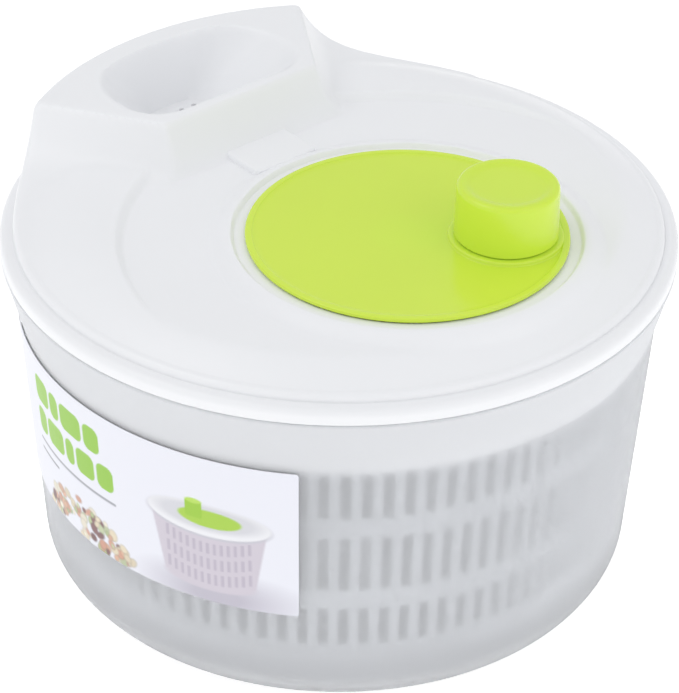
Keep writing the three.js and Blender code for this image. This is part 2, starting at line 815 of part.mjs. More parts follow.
addPiece('bowl', bowl(), 'frosted');
addPiece('bowl_label', bowlLabel(), 'film');
addPiece('basket_bush', basketBush(), 'natural');
addPiece('basket', basket(), 'white');
addPiece('lid', lid(), 'white');
addPiece('crank_bushing', bearingBush(crank_bore, crank_bush_radius, crank_place), 'natural');
addPiece('drive_bushing', bearingBush(drive_bore, drive_bush_radius, [0, 0]), 'natural');
addPiece('drive_pinion', drivePinion(), 'natural');
addPiece('drive_spider', driveSpider(), 'white');
addPiece('drive_washer',
  washer(drive_screw, 6, arm_z - seat_gap - washer_thickness, [0, 0]), 'steel');
addPiece('drive_screw',
  screwUp(arm_z - 2 * seat_gap - washer_thickness, drive_screw, [0, 0]), 'steel');
addPiece('ring_gear', ringGear(), 'natural');
for (let i = 0; i < ring_screws; i++) {
  addPiece(`ring_gear_screw_${i + 1}`,
    screwUp(lug_low - seat_gap, gear_screw, gearScrewPlace(i)), 'steel');
}
addPiece('crank_disc', crankDisc(), 'green');
const crank_washer_z = crank_hub_low - seat_gap - washer_thickness;
addPiece('crank_washer',
  washer(crank_screw, crank_bush_radius + 1.5, crank_washer_z, crank_place), 'steel');
addPiece('crank_screw', screwUp(crank_washer_z - seat_gap, crank_screw, crank_place), 'steel');
addPiece('knob', knob(), 'green');
addPiece('knob_washer',
  washer(knob_screw, knob_washer_radius, knob_washer_z, knob_place, thin_washer), 'steel');
addPiece('knob_screw', screwUp(knob_washer_z - 0.1, knob_screw, knob_place), 'steel');

export default salad_spinner;
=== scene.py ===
"""A crank-driven salad spinner: frosted bowl, slotted basket, domed lid with a funnel, disc and knob."""

import math

import bmesh
import bpy
import numpy as np
from bpy.props import FloatProperty, FloatVectorProperty, IntProperty, PointerProperty
from mathutils import Matrix, Vector


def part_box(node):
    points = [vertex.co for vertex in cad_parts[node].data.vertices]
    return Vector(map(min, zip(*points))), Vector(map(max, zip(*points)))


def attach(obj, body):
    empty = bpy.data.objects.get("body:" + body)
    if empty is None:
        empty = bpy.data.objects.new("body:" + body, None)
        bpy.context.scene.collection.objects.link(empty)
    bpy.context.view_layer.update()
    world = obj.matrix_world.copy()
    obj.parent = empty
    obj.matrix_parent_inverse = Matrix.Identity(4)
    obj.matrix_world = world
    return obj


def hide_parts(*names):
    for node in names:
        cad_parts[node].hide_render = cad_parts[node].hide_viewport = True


bl_info = {
    "name": "Crank salad spinner",
    "version": (1, 0, 0),
    "blender": (4, 5, 0),
    "location": "3D View > Sidebar > Spinner",
    "description": "Builds the fine surfaces and finishes of a salad spinner around its frame",
    "category": "Object",
}

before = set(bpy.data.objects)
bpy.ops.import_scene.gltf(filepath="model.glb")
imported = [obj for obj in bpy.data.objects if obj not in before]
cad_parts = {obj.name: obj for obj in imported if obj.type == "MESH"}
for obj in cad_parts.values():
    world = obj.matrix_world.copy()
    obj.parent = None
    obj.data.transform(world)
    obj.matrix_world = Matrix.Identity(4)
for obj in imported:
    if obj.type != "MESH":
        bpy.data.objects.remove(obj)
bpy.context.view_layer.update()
MM = 0.001
TAU = 2 * math.pi
SEAT_GAP = 0.3 * MM  # between pieces that rest on each other or turn in each other


def low(node):
    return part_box(node)[0]


def high(node):
    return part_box(node)[1]


def middle(node):
    return (low(node) + high(node)) / 2


CRANK_AXIS = middle("crank_bushing").xy
KNOB_AXIS = middle("knob_washer").xy


# ------------------------------------------------------------------ settings
def length(name, description, default):
    return FloatProperty(
        name=name, description=description, default=default, unit="LENGTH", subtype="DISTANCE")


def turn(name, description, degrees):
    return FloatProperty(name=name, description=description, default=math.radians(degrees), subtype="ANGLE")


def number(name, description, default):
    return IntProperty(name=name, description=description, default=default, min=1)


def colour(name, description, default):
    return FloatVectorProperty(name=name, description=description, default=default, size=3, min=0, max=1,
                               subtype="COLOR")


class BowlSizes(bpy.types.PropertyGroup):
    height: length("Height", "Table to rim", high("bowl").z)
    rim: length("Rim radius", "Outside radius of the rim", high("bowl").x)
    collar: length("Collar height", "Height of the flared band below the rim", 23 * MM)
    flare: length("Collar flare", "How far the collar opens outwards", 5.8 * MM)
    taper: length("Wall taper", "How much narrower the wall line is at the table", 7.45 * MM)
    wall: length("Wall", "Thickness of the wall", 2 * MM)
    fillet: length("Base fillet", "Outside rounding at the base", 17 * MM)
    foot: length("Foot width", "Width of the ring that the bowl stands on", 7 * MM)
    foot_rise: length("Foot rise", "Height of the base above the table inside the foot", 1.6 * MM)
    spigot: length("Spigot radius", "Pin that the basket turns on", 6.5 * MM)
    spigot_height: length("Spigot height", "Height of the pin above the floor", 18 * MM)
    segments: number("Segments", "Steps around the bowl", 192)


class LabelSizes(bpy.types.PropertyGroup):
    low: length("Lower edge", "Height of the label's lower edge", low("bowl_label").z)
    high: length("Upper edge", "Height of the label's upper edge", high("bowl_label").z)
    gap: length("Gap", "Film to bowl", 0.3 * MM)
    film: length("Film", "Thickness of the film", 0.3 * MM)
    centre: turn("Middle", "Angle of the label's middle from +X", 185)
    span: turn("Span", "Angle that the label covers", 76)
    columns: number("Columns", "Printed steps along the label", 330)
    rows: number("Rows", "Printed steps up the label", 134)


class BasketSizes(bpy.types.PropertyGroup):
    floor: length("Floor", "Height of the basket's floor", 17 * MM)
    wall: length("Wall", "Thickness of the wall", 2 * MM)
    gap: length("Side gap", "Basket wall to bowl wall", 6.2 * MM)
    fillet: length("Fillet", "Rounding at the floor", 5 * MM)
    flange: length("Flange", "Width of the rim's flange", 5 * MM)
    collar: length("Collar", "Height of the ring above the flange", 4 * MM)
    slots: number("Slots in a row", "Open slots around each row", 90)
    slot_low: length("First slot", "Foot of the lowest slots above the floor", 8 * MM)
    bars: length("Bars", "Plain band between two rows of slots", 8.9 * MM)
    drains: number("Drains", "Slots in the floor", 14)
    hub: length("Hub", "Outside radius of the hub", 11.4 * MM)
    hub_bore: length("Hub bore", "Radius of the hub's bore", 9.4 * MM)


class LidSizes(bpy.types.PropertyGroup):
    wall: length("Wall", "Thickness of the skin", 2.4 * MM)
    ledge: length("Ledge", "Height of the ledge outside the step", 138.6 * MM)
    step: length("Step", "Height of the dome's outer edge", 140.5 * MM)
    step_radius: length("Step radius", "Outside radius of the dome", 117.5 * MM)
    rise: length("Dome rise", "Step to the top of the shoulder", 9.7 * MM)
    run: length("Dome run", "How far in the dome keeps rising", 27 * MM)
    recess: length("Recess radius", "Radius of the sunk face about the crank", 101.5 * MM)
    recess_depth: length("Recess depth", "Depth of the sunk face", 2.7 * MM)
    pocket: length("Pocket radius", "Gear pocket under the disc", 56.2 * MM)
    pocket_floor: length("Pocket floor", "Height of the pocket's floor", 138 * MM)
    gutter: length("Gutter radius", "Outside of the flat seat around the disc", 61 * MM)
    gutter_height: length("Gutter height", "Height of that seat", 148.9 * MM)
    lip: length("Lip height", "Crown of the lip above the gutter", 1.7 * MM)
    lip_width: length("Lip width", "Gutter to the lip's foot", 8.6 * MM)
    boss_top: length("Boss top", "Height of the raised end", high("lid").z)
    boss_angle: turn("Boss half angle", "Half the angle that the raised end covers", 32.5)
    boss_front: length("Boss front", "Top edge on the crank side", 56 * MM)
    boss_slope: length("Boss slope", "How far the front runs out at its foot", 9.5 * MM)
    mouth: length("Mouth", "Half the width of the funnel's mouth", 39 * MM)
    mouth_front: length("Mouth front", "Front edge of the mouth", 60.5 * MM)
    mouth_back: length("Mouth back", "Back edge of the mouth", 106.5 * MM)
    funnel_floor: length("Funnel floor", "Height of the funnel's floor", 140.3 * MM)
    pad: length("Pad width", "Width of the raised pad before the boss", 28 * MM)
    pad_rise: length("Pad rise", "Height of the pad", 2.4 * MM)
    skirt: length("Skirt", "Lowest edge of the skirt", low("lid").z)
    columns: number("Columns", "Steps around the lid", 440)


class CrankSizes(bpy.types.PropertyGroup):
    disc: length("Disc radius", "Radius of the crank disc", (high("crank_disc").x - low("crank_disc").x) / 2)
    face: length("Face", "Height of the disc's face", 150.4 * MM)
    rim: length("Rim", "Height of the raised edge band", 0.6 * MM)
    rim_width: length("Rim width", "Width of that band", 3 * MM)
    thick: length("Thickness", "Thickness of the disc at its edge", 1.6 * MM)
    pedestal: length("Pedestal radius", "Ring at the knob's foot", 20.5 * MM)
    pedestal_top: length("Pedestal top", "Height of that ring", high("crank_disc").z)
    journal: length("Journal radius", "Shaft in the lid's bearing", 8 * MM)
    knob: length("Knob radius", "Radius of the knob", 18.5 * MM)
    knob_wall: length("Knob wall", "Thickness of the knob's side", 2 * MM)
    knob_edge: length("Knob edge", "Rounding of the knob's top edge", 1.9 * MM)
    knob_dish: length("Knob dish", "Depth of the dish in the knob's top", 0.9 * MM)


class Finishes(bpy.types.PropertyGroup):
    frosted: colour("Frosted", "Bowl", (0.945, 0.955, 0.975))
    white: colour("White", "Lid", (0.945, 0.95, 0.965))
    basket: colour("Basket white", "Basket and spider", (0.92, 0.925, 0.93))
    green: colour("Green", "Disc and knob", (0.70, 0.91, 0.075))
    natural: colour("Natural", "Gears and bushes", (0.80, 0.78, 0.70))
    steel: colour("Steel", "Screws and washers", (0.55, 0.56, 0.57))
    floor: colour("Floor", "Studio floor", (0.5, 0.5, 0.5))


class StageSizes(bpy.types.PropertyGroup):
    azimuth: turn("Azimuth", "Where the camera stands around the spinner", -41)
    elevation: turn("Elevation", "How high the camera stands", 33.67)
    roll: turn("Roll", "Turn of the camera about its own axis", -0.93)
    distance: length("Distance", "Camera to the point it looks at", 1140 * MM)
    target: length("Target", "Height of the point it looks at", 82.95 * MM)
    lens: FloatProperty(name="Lens", description="Focal length in millimetres", default=159.32)
    shift: FloatProperty(name="Shift", description="Sideways shift of the frame", default=0.0033)
    floor: length("Floor size", "Half the side of the floor", 4.0)


GROUPS = {
    "spinner_bowl": BowlSizes,
    "spinner_label": LabelSizes,
    "spinner_basket": BasketSizes,
    "spinner_lid": LidSizes,
    "spinner_crank": CrankSizes,
    "spinner_finishes": Finishes,
    "spinner_stage": StageSizes,
}


# ------------------------------------------------------------------ node trees
class Tree:
    """Short calls for building one node tree."""

    def __init__(self, tree):
        self.tree = tree

    def feed(self, socket, value):
        if isinstance(value, bpy.types.NodeSocket):
            self.tree.links.new(value, socket)
        else:
            socket.default_value = value

    def add(self, kind, inputs=None, **settings):
        node = self.tree.nodes.new(kind)
        for key, value in settings.items():
            setattr(node, key, value)
        for key, value in (inputs or {}).items():
            self.feed(node.inputs[key], value)
        return node

    def math(self, operation, a, b=0.0, c=0.0):
        return self.add("ShaderNodeMath", {0: a, 1: b, 2: c}, operation=operation).outputs[0]

    def point(self, x, y, z):
        return self.add("ShaderNodeCombineXYZ", {0: x, 1: y, 2: z}).outputs[0]


def geometry_tree(name, inputs):
    """A Geometry Nodes tree with named inputs, and the sockets that they give."""
    group = bpy.data.node_groups.new(name, "GeometryNodeTree")
    group.interface.new_socket("Geometry", in_out="INPUT", socket_type="NodeSocketGeometry")
    for label, kind, default in inputs:
        socket = group.interface.new_socket(label, in_out="INPUT", socket_type="NodeSocket" + kind)
        if default is not None:
            socket.default_value = default
    group.interface.new_socket("Material", in_out="INPUT", socket_type="NodeSocketMaterial")
    group.interface.new_socket("Geometry", in_out="OUTPUT", socket_type="NodeSocketGeometry")
    tree = Tree(group)
    given = tree.add("NodeGroupInput").outputs
    return tree, given


def close_tree(tree, given, geometry):
    real = tree.add("GeometryNodeRealizeInstances", {"Geometry": geometry}).outputs[0]
    painted = tree.add("GeometryNodeSetMaterial", {"Geometry": real, "Material": given["Material"]})
    tree.add("NodeGroupOutput", {"Geometry": painted.outputs[0]})
    return tree.tree


def turned_tree():
    """A wall of revolution: the given line of points is turned about an upright axis. Where a point's
    open attribute is set, every second face from there to the next point is left out."""
    tree, given = geometry_tree("Turned wall", [
        ("Segments", "Int", 96), ("Axis X", "Float", 0.0), ("Axis Y", "Float", 0.0)])
    profile = given["Geometry"]
    count = tree.add("GeometryNodeAttributeDomainSize", {"Geometry": profile}).outputs["Point Count"]
    index = tree.add("GeometryNodeInputIndex").outputs[0]
    grid = tree.add("GeometryNodeMeshGrid", {
        "Size X": 1.0, "Size Y": 1.0,
        "Vertices X": tree.math("ADD", given["Segments"], 1.0), "Vertices Y": count}).outputs["Mesh"]

    def place_in(rows):
        column = tree.math("FLOOR", tree.math("DIVIDE", index, rows))
        return column, tree.math("SUBTRACT", index, tree.math("MULTIPLY", column, rows))

    def looked_up(value, row, kind):
        return tree.add("GeometryNodeSampleIndex", {
            "Geometry": profile, "Value": value, "Index": row}, data_type=kind, domain="POINT").outputs[0]

    column, row = place_in(count)
    position = tree.add("GeometryNodeInputPosition").outputs[0]
    across = tree.add("ShaderNodeSeparateXYZ", {0: looked_up(position, row, "FLOAT_VECTOR")}).outputs
    angle = tree.math("DIVIDE", tree.math("MULTIPLY", column, TAU), given["Segments"])
    x = tree.math("MULTIPLY_ADD", across["X"], tree.math("COSINE", angle), given["Axis X"])
    y = tree.math("MULTIPLY_ADD", across["X"], tree.math("SINE", angle), given["Axis Y"])
    wall = tree.add("GeometryNodeSetPosition", {
        "Geometry": grid, "Position": tree.point(x, y, across["Z"])}).outputs[0]
    face_column, face_row = place_in(tree.math("SUBTRACT", count, 1.0))
    mark = tree.add("GeometryNodeInputNamedAttribute", {"Name": "open"}, data_type="FLOAT").outputs[0]
    is_open = looked_up(mark, face_row, "FLOAT")
    is_second = tree.math("GREATER_THAN", tree.math("MODULO", face_column, 2.0), 0.5)
    slotted = tree.add("GeometryNodeDeleteGeometry", {
        "Geometry": wall, "Selection": tree.math("MULTIPLY", is_open, is_second)}, domain="FACE").outputs[0]
    joined = tree.add("GeometryNodeMergeByDistance", {"Geometry": slotted, "Distance": 1e-6}).outputs[0]
    return close_tree(tree, given, joined)


def copies_tree():
    """Copies of the given shape, each moved on by one step and turned on by one angle."""
    tree, given = geometry_tree("Copies in steps", [
        ("Count", "Int", 4), ("Start", "Vector", None), ("Step", "Vector", None),
        ("First angle", "Float", 0.0), ("Angle step", "Float", 0.0)])
    line = tree.add("GeometryNodeMeshLine", {
        "Count": given["Count"], "Start Location": given["Start"], "Offset": given["Step"]}, mode="OFFSET")
    index = tree.add("GeometryNodeInputIndex").outputs[0]
    angle = tree.math("MULTIPLY_ADD", index, given["Angle step"], given["First angle"])
    copies = tree.add("GeometryNodeInstanceOnPoints", {
        "Points": line.outputs[0], "Instance": given["Geometry"], "Rotation": tree.point(0.0, 0.0, angle)})
    return close_tree(tree, given, copies.outputs[0])


# ------------------------------------------------------------------ mesh helpers
def object_from(mesh, name):
    piece = bpy.data.objects.new(name, mesh)
    bpy.context.scene.collection.objects.link(piece)
    return piece


def evaluated(piece, name):
    """The piece with its modifiers worked out, as a new plain mesh. The piece itself is removed."""
    bpy.context.view_layer.update()
    depsgraph = bpy.context.evaluated_depsgraph_get()
    mesh = bpy.data.meshes.new_from_object(piece.evaluated_get(depsgraph), depsgraph=depsgraph)
    mesh.name = name
    if not mesh.polygons:
        raise RuntimeError(f"{name} came out empty")
    bpy.data.objects.remove(piece)
    return mesh


def grown(tree_maker, mesh, name, material, inputs):
    """Runs one of the trees on a mesh and returns the mesh that it makes."""
    group = bpy.data.node_groups.get(tree_maker.__name__) or tree_maker()
    group.name = tree_maker.__name__
    piece = object_from(mesh, name + "_seed")
    modifier = piece.modifiers.new("Nodes", "NODES")
    modifier.node_group = group
    values = {"Material": material, **inputs}
    for socket in group.interface.items_tree:
        if socket.in_out == "INPUT" and socket.name in values:
            modifier[socket.identifier] = values.pop(socket.name)
    if values:
        raise RuntimeError(f"{name}: the tree has no input called {sorted(values)}")
    return evaluated(piece, name)


def tidied(mesh):
    """Closes hair cracks, drops faces without area and turns all faces outwards."""
    work = bmesh.new()
    work.from_mesh(mesh)
    bmesh.ops.remove_doubles(work, verts=work.verts, dist=1e-6)
    bmesh.ops.dissolve_degenerate(work, edges=work.edges, dist=1e-7)
    bmesh.ops.recalc_face_normals(work, faces=work.faces)
    work.to_mesh(mesh)
    work.free()
    return mesh


def smoothed(mesh, degrees=32):
    mesh.polygons.foreach_set("use_smooth", [True] * len(mesh.polygons))
    mesh.set_sharp_from_angle(angle=math.radians(degrees))
    return mesh


def line_mesh(points, name, open_rows=()):
    mesh = bpy.data.meshes.new(name)
    mesh.from_pydata([(r, 0, z) for r, z in points], [(i, i + 1) for i in range(len(points) - 1)], [])
    marks = mesh.attributes.new("open", "FLOAT", "POINT")
    marks.data.foreach_set("value", [1.0 if i in open_rows else 0.0 for i in range(len(points))])
    return mesh


def turned(points, name, material, segments=96, axis=(0, 0), open_rows=()):
    mesh = grown(turned_tree, line_mesh(points, name, open_rows), name, material,
                 {"Segments": segments, "Axis X": float(axis[0]), "Axis Y": float(axis[1])})
    return tidied(mesh)


def arc(x, z, radius, start, end, count=8):
    """Points on an arc of a profile, from start to end in degrees."""
    angles = [math.radians(start + (end - start) * i / count) for i in range(count + 1)]
    return [(x + radius * math.cos(a), z + radius * math.sin(a)) for a in angles]


def block(x0, x1, y0, y1, z0, z1, rounding=0.0, steps=3):
    """A block, its upright edges rounded."""
    corners = [(x1, y1, 0), (x0, y1, 90), (x0, y0, 180), (x1, y0, 270)]
    outline = []
    for x, y, start in corners:
        cx = x - math.copysign(rounding, x - (x0 + x1) / 2)
        cy = y - math.copysign(rounding, y - (y0 + y1) / 2)
        for i in range(steps + 1 if rounding else 1):
            a = math.radians(start + 90 * i / steps)
            outline.append((cx + rounding * math.cos(a), cy + rounding * math.sin(a)))
    return raised(outline, z0, z1)


def raised(outline, z0, z1):
    """An outline of (x, y) points as a solid from z0 to z1."""
    count = len(outline)
    mesh = bpy.data.meshes.new("raised")
    points = [(x, y, z) for z in (z0, z1) for x, y in outline]
    sides = [(i, (i + 1) % count, (i + 1) % count + count, i + count) for i in range(count)]
    mesh.from_pydata(points, [], [tuple(reversed(range(count))), tuple(range(count, 2 * count)), *sides])
    return tidied(mesh)


def carved(mesh, name, cuts=(), joins=()):
    """Joins and cuts solids. Each is a closed mesh."""
    piece = object_from(mesh, name)
    others = []
    for operation, group in (("UNION", joins), ("DIFFERENCE", cuts)):
        for other in group:
            tool = object_from(other, name + "_tool")
            others.append(tool)
            modifier = piece.modifiers.new(operation.title(), "BOOLEAN")
            modifier.operation = operation
            modifier.solver = "MANIFOLD"
            modifier.object = tool
    result = evaluated(piece, name)
    for tool in others:
        bpy.data.objects.remove(tool)
    return result


def placed(mesh, name, body, material, stands_for, degrees=32):
    """Makes the finished piece: smooth, painted, riding on its body and standing for its frame nodes."""
    mesh.materials.clear()
    mesh.materials.append(material)
    mesh.polygons.foreach_set("material_index", [0] * len(mesh.polygons))
    piece = object_from(smoothed(mesh, degrees), name)
    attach(piece, body)
    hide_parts(*stands_for)
    return piece


# ------------------------------------------------------------------ finishes
def moulded(name, tint, roughness, mottle=0.02, grain=0.00001, grain_scale=1400.0, wave=0.00002, foot=1.0,
            clear=None, **sockets):
    """Injection-moulded plastic: a slight drift of colour, uneven gloss, a fine skin and shallow sink waves.
    Below the basket's floor the colour is scaled by foot, so it darkens there: painted shade for the
    shaded space under the basket. With clear given, as what the wall and the collar let through, light
    passes through the material."""
    known = bpy.data.materials.get(name + "_moulding")
    if known:
        return known
    material = bpy.data.materials.new(name + "_moulding")
    material["slot"] = name
    material.use_nodes = True
    material.node_tree.nodes.clear()
    tree = Tree(material.node_tree)
    place = tree.add("ShaderNodeTexCoord").outputs["Object"]
    drift = tree.add("ShaderNodeTexNoise", {"Vector": place, "Scale": 14.0, "Detail": 3.0}).outputs["Fac"]
    skin = tree.add("ShaderNodeTexNoise", {
        "Vector": place, "Scale": grain_scale, "Detail": 2.0}).outputs["Fac"]
    sink = tree.add("ShaderNodeTexNoise", {"Vector": place, "Scale": 55.0, "Detail": 1.0}).outputs["Fac"]
    scuff = tree.add("ShaderNodeTexNoise", {
        "Vector": place, "Scale": 160.0, "Detail": 4.0, "Distortion": 1.4}).outputs["Fac"]
    level = tree.add("ShaderNodeMapRange", {
        "Value": drift, "From Min": 0.25, "From Max": 0.75, "To Min": 1 - mottle, "To Max": 1 + mottle / 2})
    height = tree.add("ShaderNodeSeparateXYZ", {0: place}).outputs["Z"]
    # painted shade: below the basket's floor the colour is scaled down towards foot
    depth = tree.add("ShaderNodeMapRange", {
        "Value": height, "From Min": 16 * MM, "From Max": 32 * MM, "To Min": foot, "To Max": 1.0},
        interpolation_type="SMOOTHSTEP").outputs[0]
    # the drift is the plastic's own uneven tone, and depth adds the painted shade below the basket's floor
    drift_and_painted_shade = tree.math("MULTIPLY", level.outputs[0], depth)
    base = tree.add("ShaderNodeVectorMath", {0: (*tint,), "Scale": drift_and_painted_shade}, operation="SCALE")
    gloss = tree.add("ShaderNodeMapRange", {
        "Value": scuff, "From Min": 0.3, "From Max": 0.75,
        "To Min": roughness - 0.05, "To Max": roughness + 0.07})
    wavy = tree.add("ShaderNodeBump", {"Height": sink, "Distance": wave, "Strength": 0.6}).outputs[0]
    skinned = tree.add("ShaderNodeBump", {
        "Height": skin, "Distance": grain, "Strength": 0.5, "Normal": wavy}).outputs[0]
    if clear:
        sockets["Transmission Weight"] = tree.add("ShaderNodeMapRange", {
            "Value": height, "From Min": 105 * MM, "From Max": 114 * MM,
            "To Min": clear[0], "To Max": clear[1]}, interpolation_type="SMOOTHSTEP").outputs[0]
    shader = tree.add("ShaderNodeBsdfPrincipled", {
        "Base Color": base.outputs[0], "Roughness": gloss.outputs[0], "Normal": skinned, **sockets})
    tree.add("ShaderNodeOutputMaterial", {"Surface": shader.outputs[0]})
    return material


def finish(name):
    """One of the spinner's finishes by the record's slot name."""
    tints = bpy.context.scene.spinner_finishes
    if name == "frosted":
        # foot=0.86 darkens the bowl below the basket's floor: painted shade
        return moulded(name, tints.frosted, 0.4, 0.03, 0.00003, 900.0,
                       foot=0.86, clear=(0.7, 0.3), **{"IOR": 1.16})
    if name == "white":
        return moulded(name, tints.white, 0.34, 0.015, **{
            "Subsurface Weight": 0.12, "Subsurface Radius": (1.0, 1.0, 1.0), "Subsurface Scale": 0.003})
    if name == "basket_white":
        return moulded(name, tints.basket, 0.38, 0.02, **{
            "Subsurface Weight": 0.15, "Subsurface Radius": (1.0, 1.0, 1.0), "Subsurface Scale": 0.004})
    if name == "green":
        return moulded(name, tints.green, 0.2, 0.03, 0.000006, **{
            "Subsurface Weight": 0.12, "Subsurface Radius": (0.7, 1.0, 0.2), "Subsurface Scale": 0.003})
    if name == "natural":
        return moulded(name, tints.natural, 0.42, 0.04, **{
            "Subsurface Weight": 0.2, "Subsurface Scale": 0.002})
    if name == "steel":
        return moulded(name, tints.steel, 0.3, 0.12, 0.00001, 2200.0, **{"Metallic": 1.0})
    raise RuntimeError(f"there is no finish called {name}")


def printed_film():
    """Label film: the print is in the mesh's own colours, with an uneven gloss and a faint ripple."""
    material = bpy.data.materials.new("printed_film")
    material["slot"] = "film"
    material.use_nodes = True
    material.node_tree.nodes.clear()
    tree = Tree(material.node_tree)
    ink = tree.add("ShaderNodeAttribute", attribute_name="print").outputs["Color"]
    place = tree.add("ShaderNodeTexCoord").outputs["Object"]
    drift = tree.add("ShaderNodeTexNoise", {"Vector": place, "Scale": 500.0, "Detail": 3.0}).outputs["Fac"]
    gloss = tree.add("ShaderNodeMapRange", {"Value": drift, "To Min": 0.28, "To Max": 0.42}).outputs[0]
    lifted = tree.add("ShaderNodeTexNoise", {"Vector": place, "Scale": 70.0, "Detail": 1.0}).outputs["Fac"]
    normal = tree.add("ShaderNodeBump", {"Height": lifted, "Distance": 0.00003, "Strength": 0.5}).outputs[0]
    shader = tree.add("ShaderNodeBsdfPrincipled", {"Base Color": ink, "Roughness": gloss, "Normal": normal})
    tree.add("ShaderNodeOutputMaterial", {"Surface": shader.outputs[0]})
    return material


# ------------------------------------------------------------------ bowl
def wall_radius(z):
    """Outside radius of the bowl's wall at a height, below its collar and on it."""
    s = bpy.context.scene.spinner_bowl
    collar = s.height - s.collar
    at_collar = s.rim - s.flare
    if z > collar:
        return at_collar + s.flare * (z - collar) / s.collar
    return at_collar - s.taper * (collar - z) / collar


class SPINNER_OT_bowl(bpy.types.Operator):
    """Make the frosted bowl with its foot ring, flared collar and spigot"""
    bl_idname = "spinner.bowl"
    bl_label = "Bowl"

    def execute(self, context):
        s = context.scene.spinner_bowl
        collar = s.height - s.collar
        floor = s.foot_rise + s.wall
        foot = wall_radius(s.fillet) - s.fillet
        lip = s.wall * 0.4
        outer = [
            (0, s.foot_rise), (foot - s.foot - s.foot_rise, s.foot_rise),
            *arc(foot - s.foot, 0.5 * MM, 0.5 * MM, 200, 270, 4),
            *arc(foot, s.fillet, s.fillet, -90, -4, 18),
        ]
        wall = [(wall_radius(z), z) for z in np.linspace(s.fillet * 1.25, collar - 0.4 * MM, 14)]
        flared = [(wall_radius(z), z) for z in np.linspace(collar + 0.4 * MM, s.height - lip, 8)]
        rim = arc(s.rim - lip, s.height - lip, lip, 0, 90, 4)
        rim += arc(s.rim - s.wall + lip, s.height - lip, lip, 90, 180, 4)
        inside = [(wall_radius(z) - s.wall, z) for z in np.linspace(s.height - 2 * MM, collar + 0.6 * MM, 7)]
        inside += [(wall_radius(z) - s.wall, z) for z in np.linspace(collar - 0.6 * MM, s.fillet * 1.25, 12)]
        bend = s.fillet - s.wall
        centre = [
            *arc(foot, floor + bend, bend, -4, -90, 14),
            (s.spigot + 3 * MM, floor), *arc(s.spigot + 2.2 * MM, floor + 2.2 * MM, 2.2 * MM, 270, 180, 5),
            (s.spigot - 0.4 * MM, floor + s.spigot_height - 1.2 * MM),
            *arc(s.spigot - 1.6 * MM, floor + s.spigot_height - 1.2 * MM, 1.2 * MM, 0, 90, 4),
            (0, floor + s.spigot_height),
        ]
        material = finish("frosted")
        mesh = turned(outer + wall + flared + rim + inside + centre, "frosted_bowl", material, s.segments)
        placed(mesh, "frosted_bowl", "bowl", material, ["bowl"], degrees=40)
        return {"FINISHED"}


# ------------------------------------------------------------------ label
def soft_edge(distance, width=0.0004):
    """1 inside a shape, 0 outside, from a distance that is negative inside."""
    return np.clip(0.5 - distance / width, 0, 1)


def ellipse(u, v, cu, cv, a, b, turned_by=0.0):
    c, s = math.cos(turned_by), math.sin(turned_by)
    x, y = (u - cu) * c + (v - cv) * s, -(u - cu) * s + (v - cv) * c
    return (np.hypot(x / a, y / b) - 1) * min(a, b)


def panel(u, v, u0, u1, v0, v1, corner=0.0):
    x = np.abs(u - (u0 + u1) / 2) - (u1 - u0) / 2 + corner
    y = np.abs(v - (v0 + v1) / 2) - (v1 - v0) / 2 + corner
    return np.hypot(np.maximum(x, 0), np.maximum(y, 0)) + np.minimum(np.maximum(x, y), 0) - corner


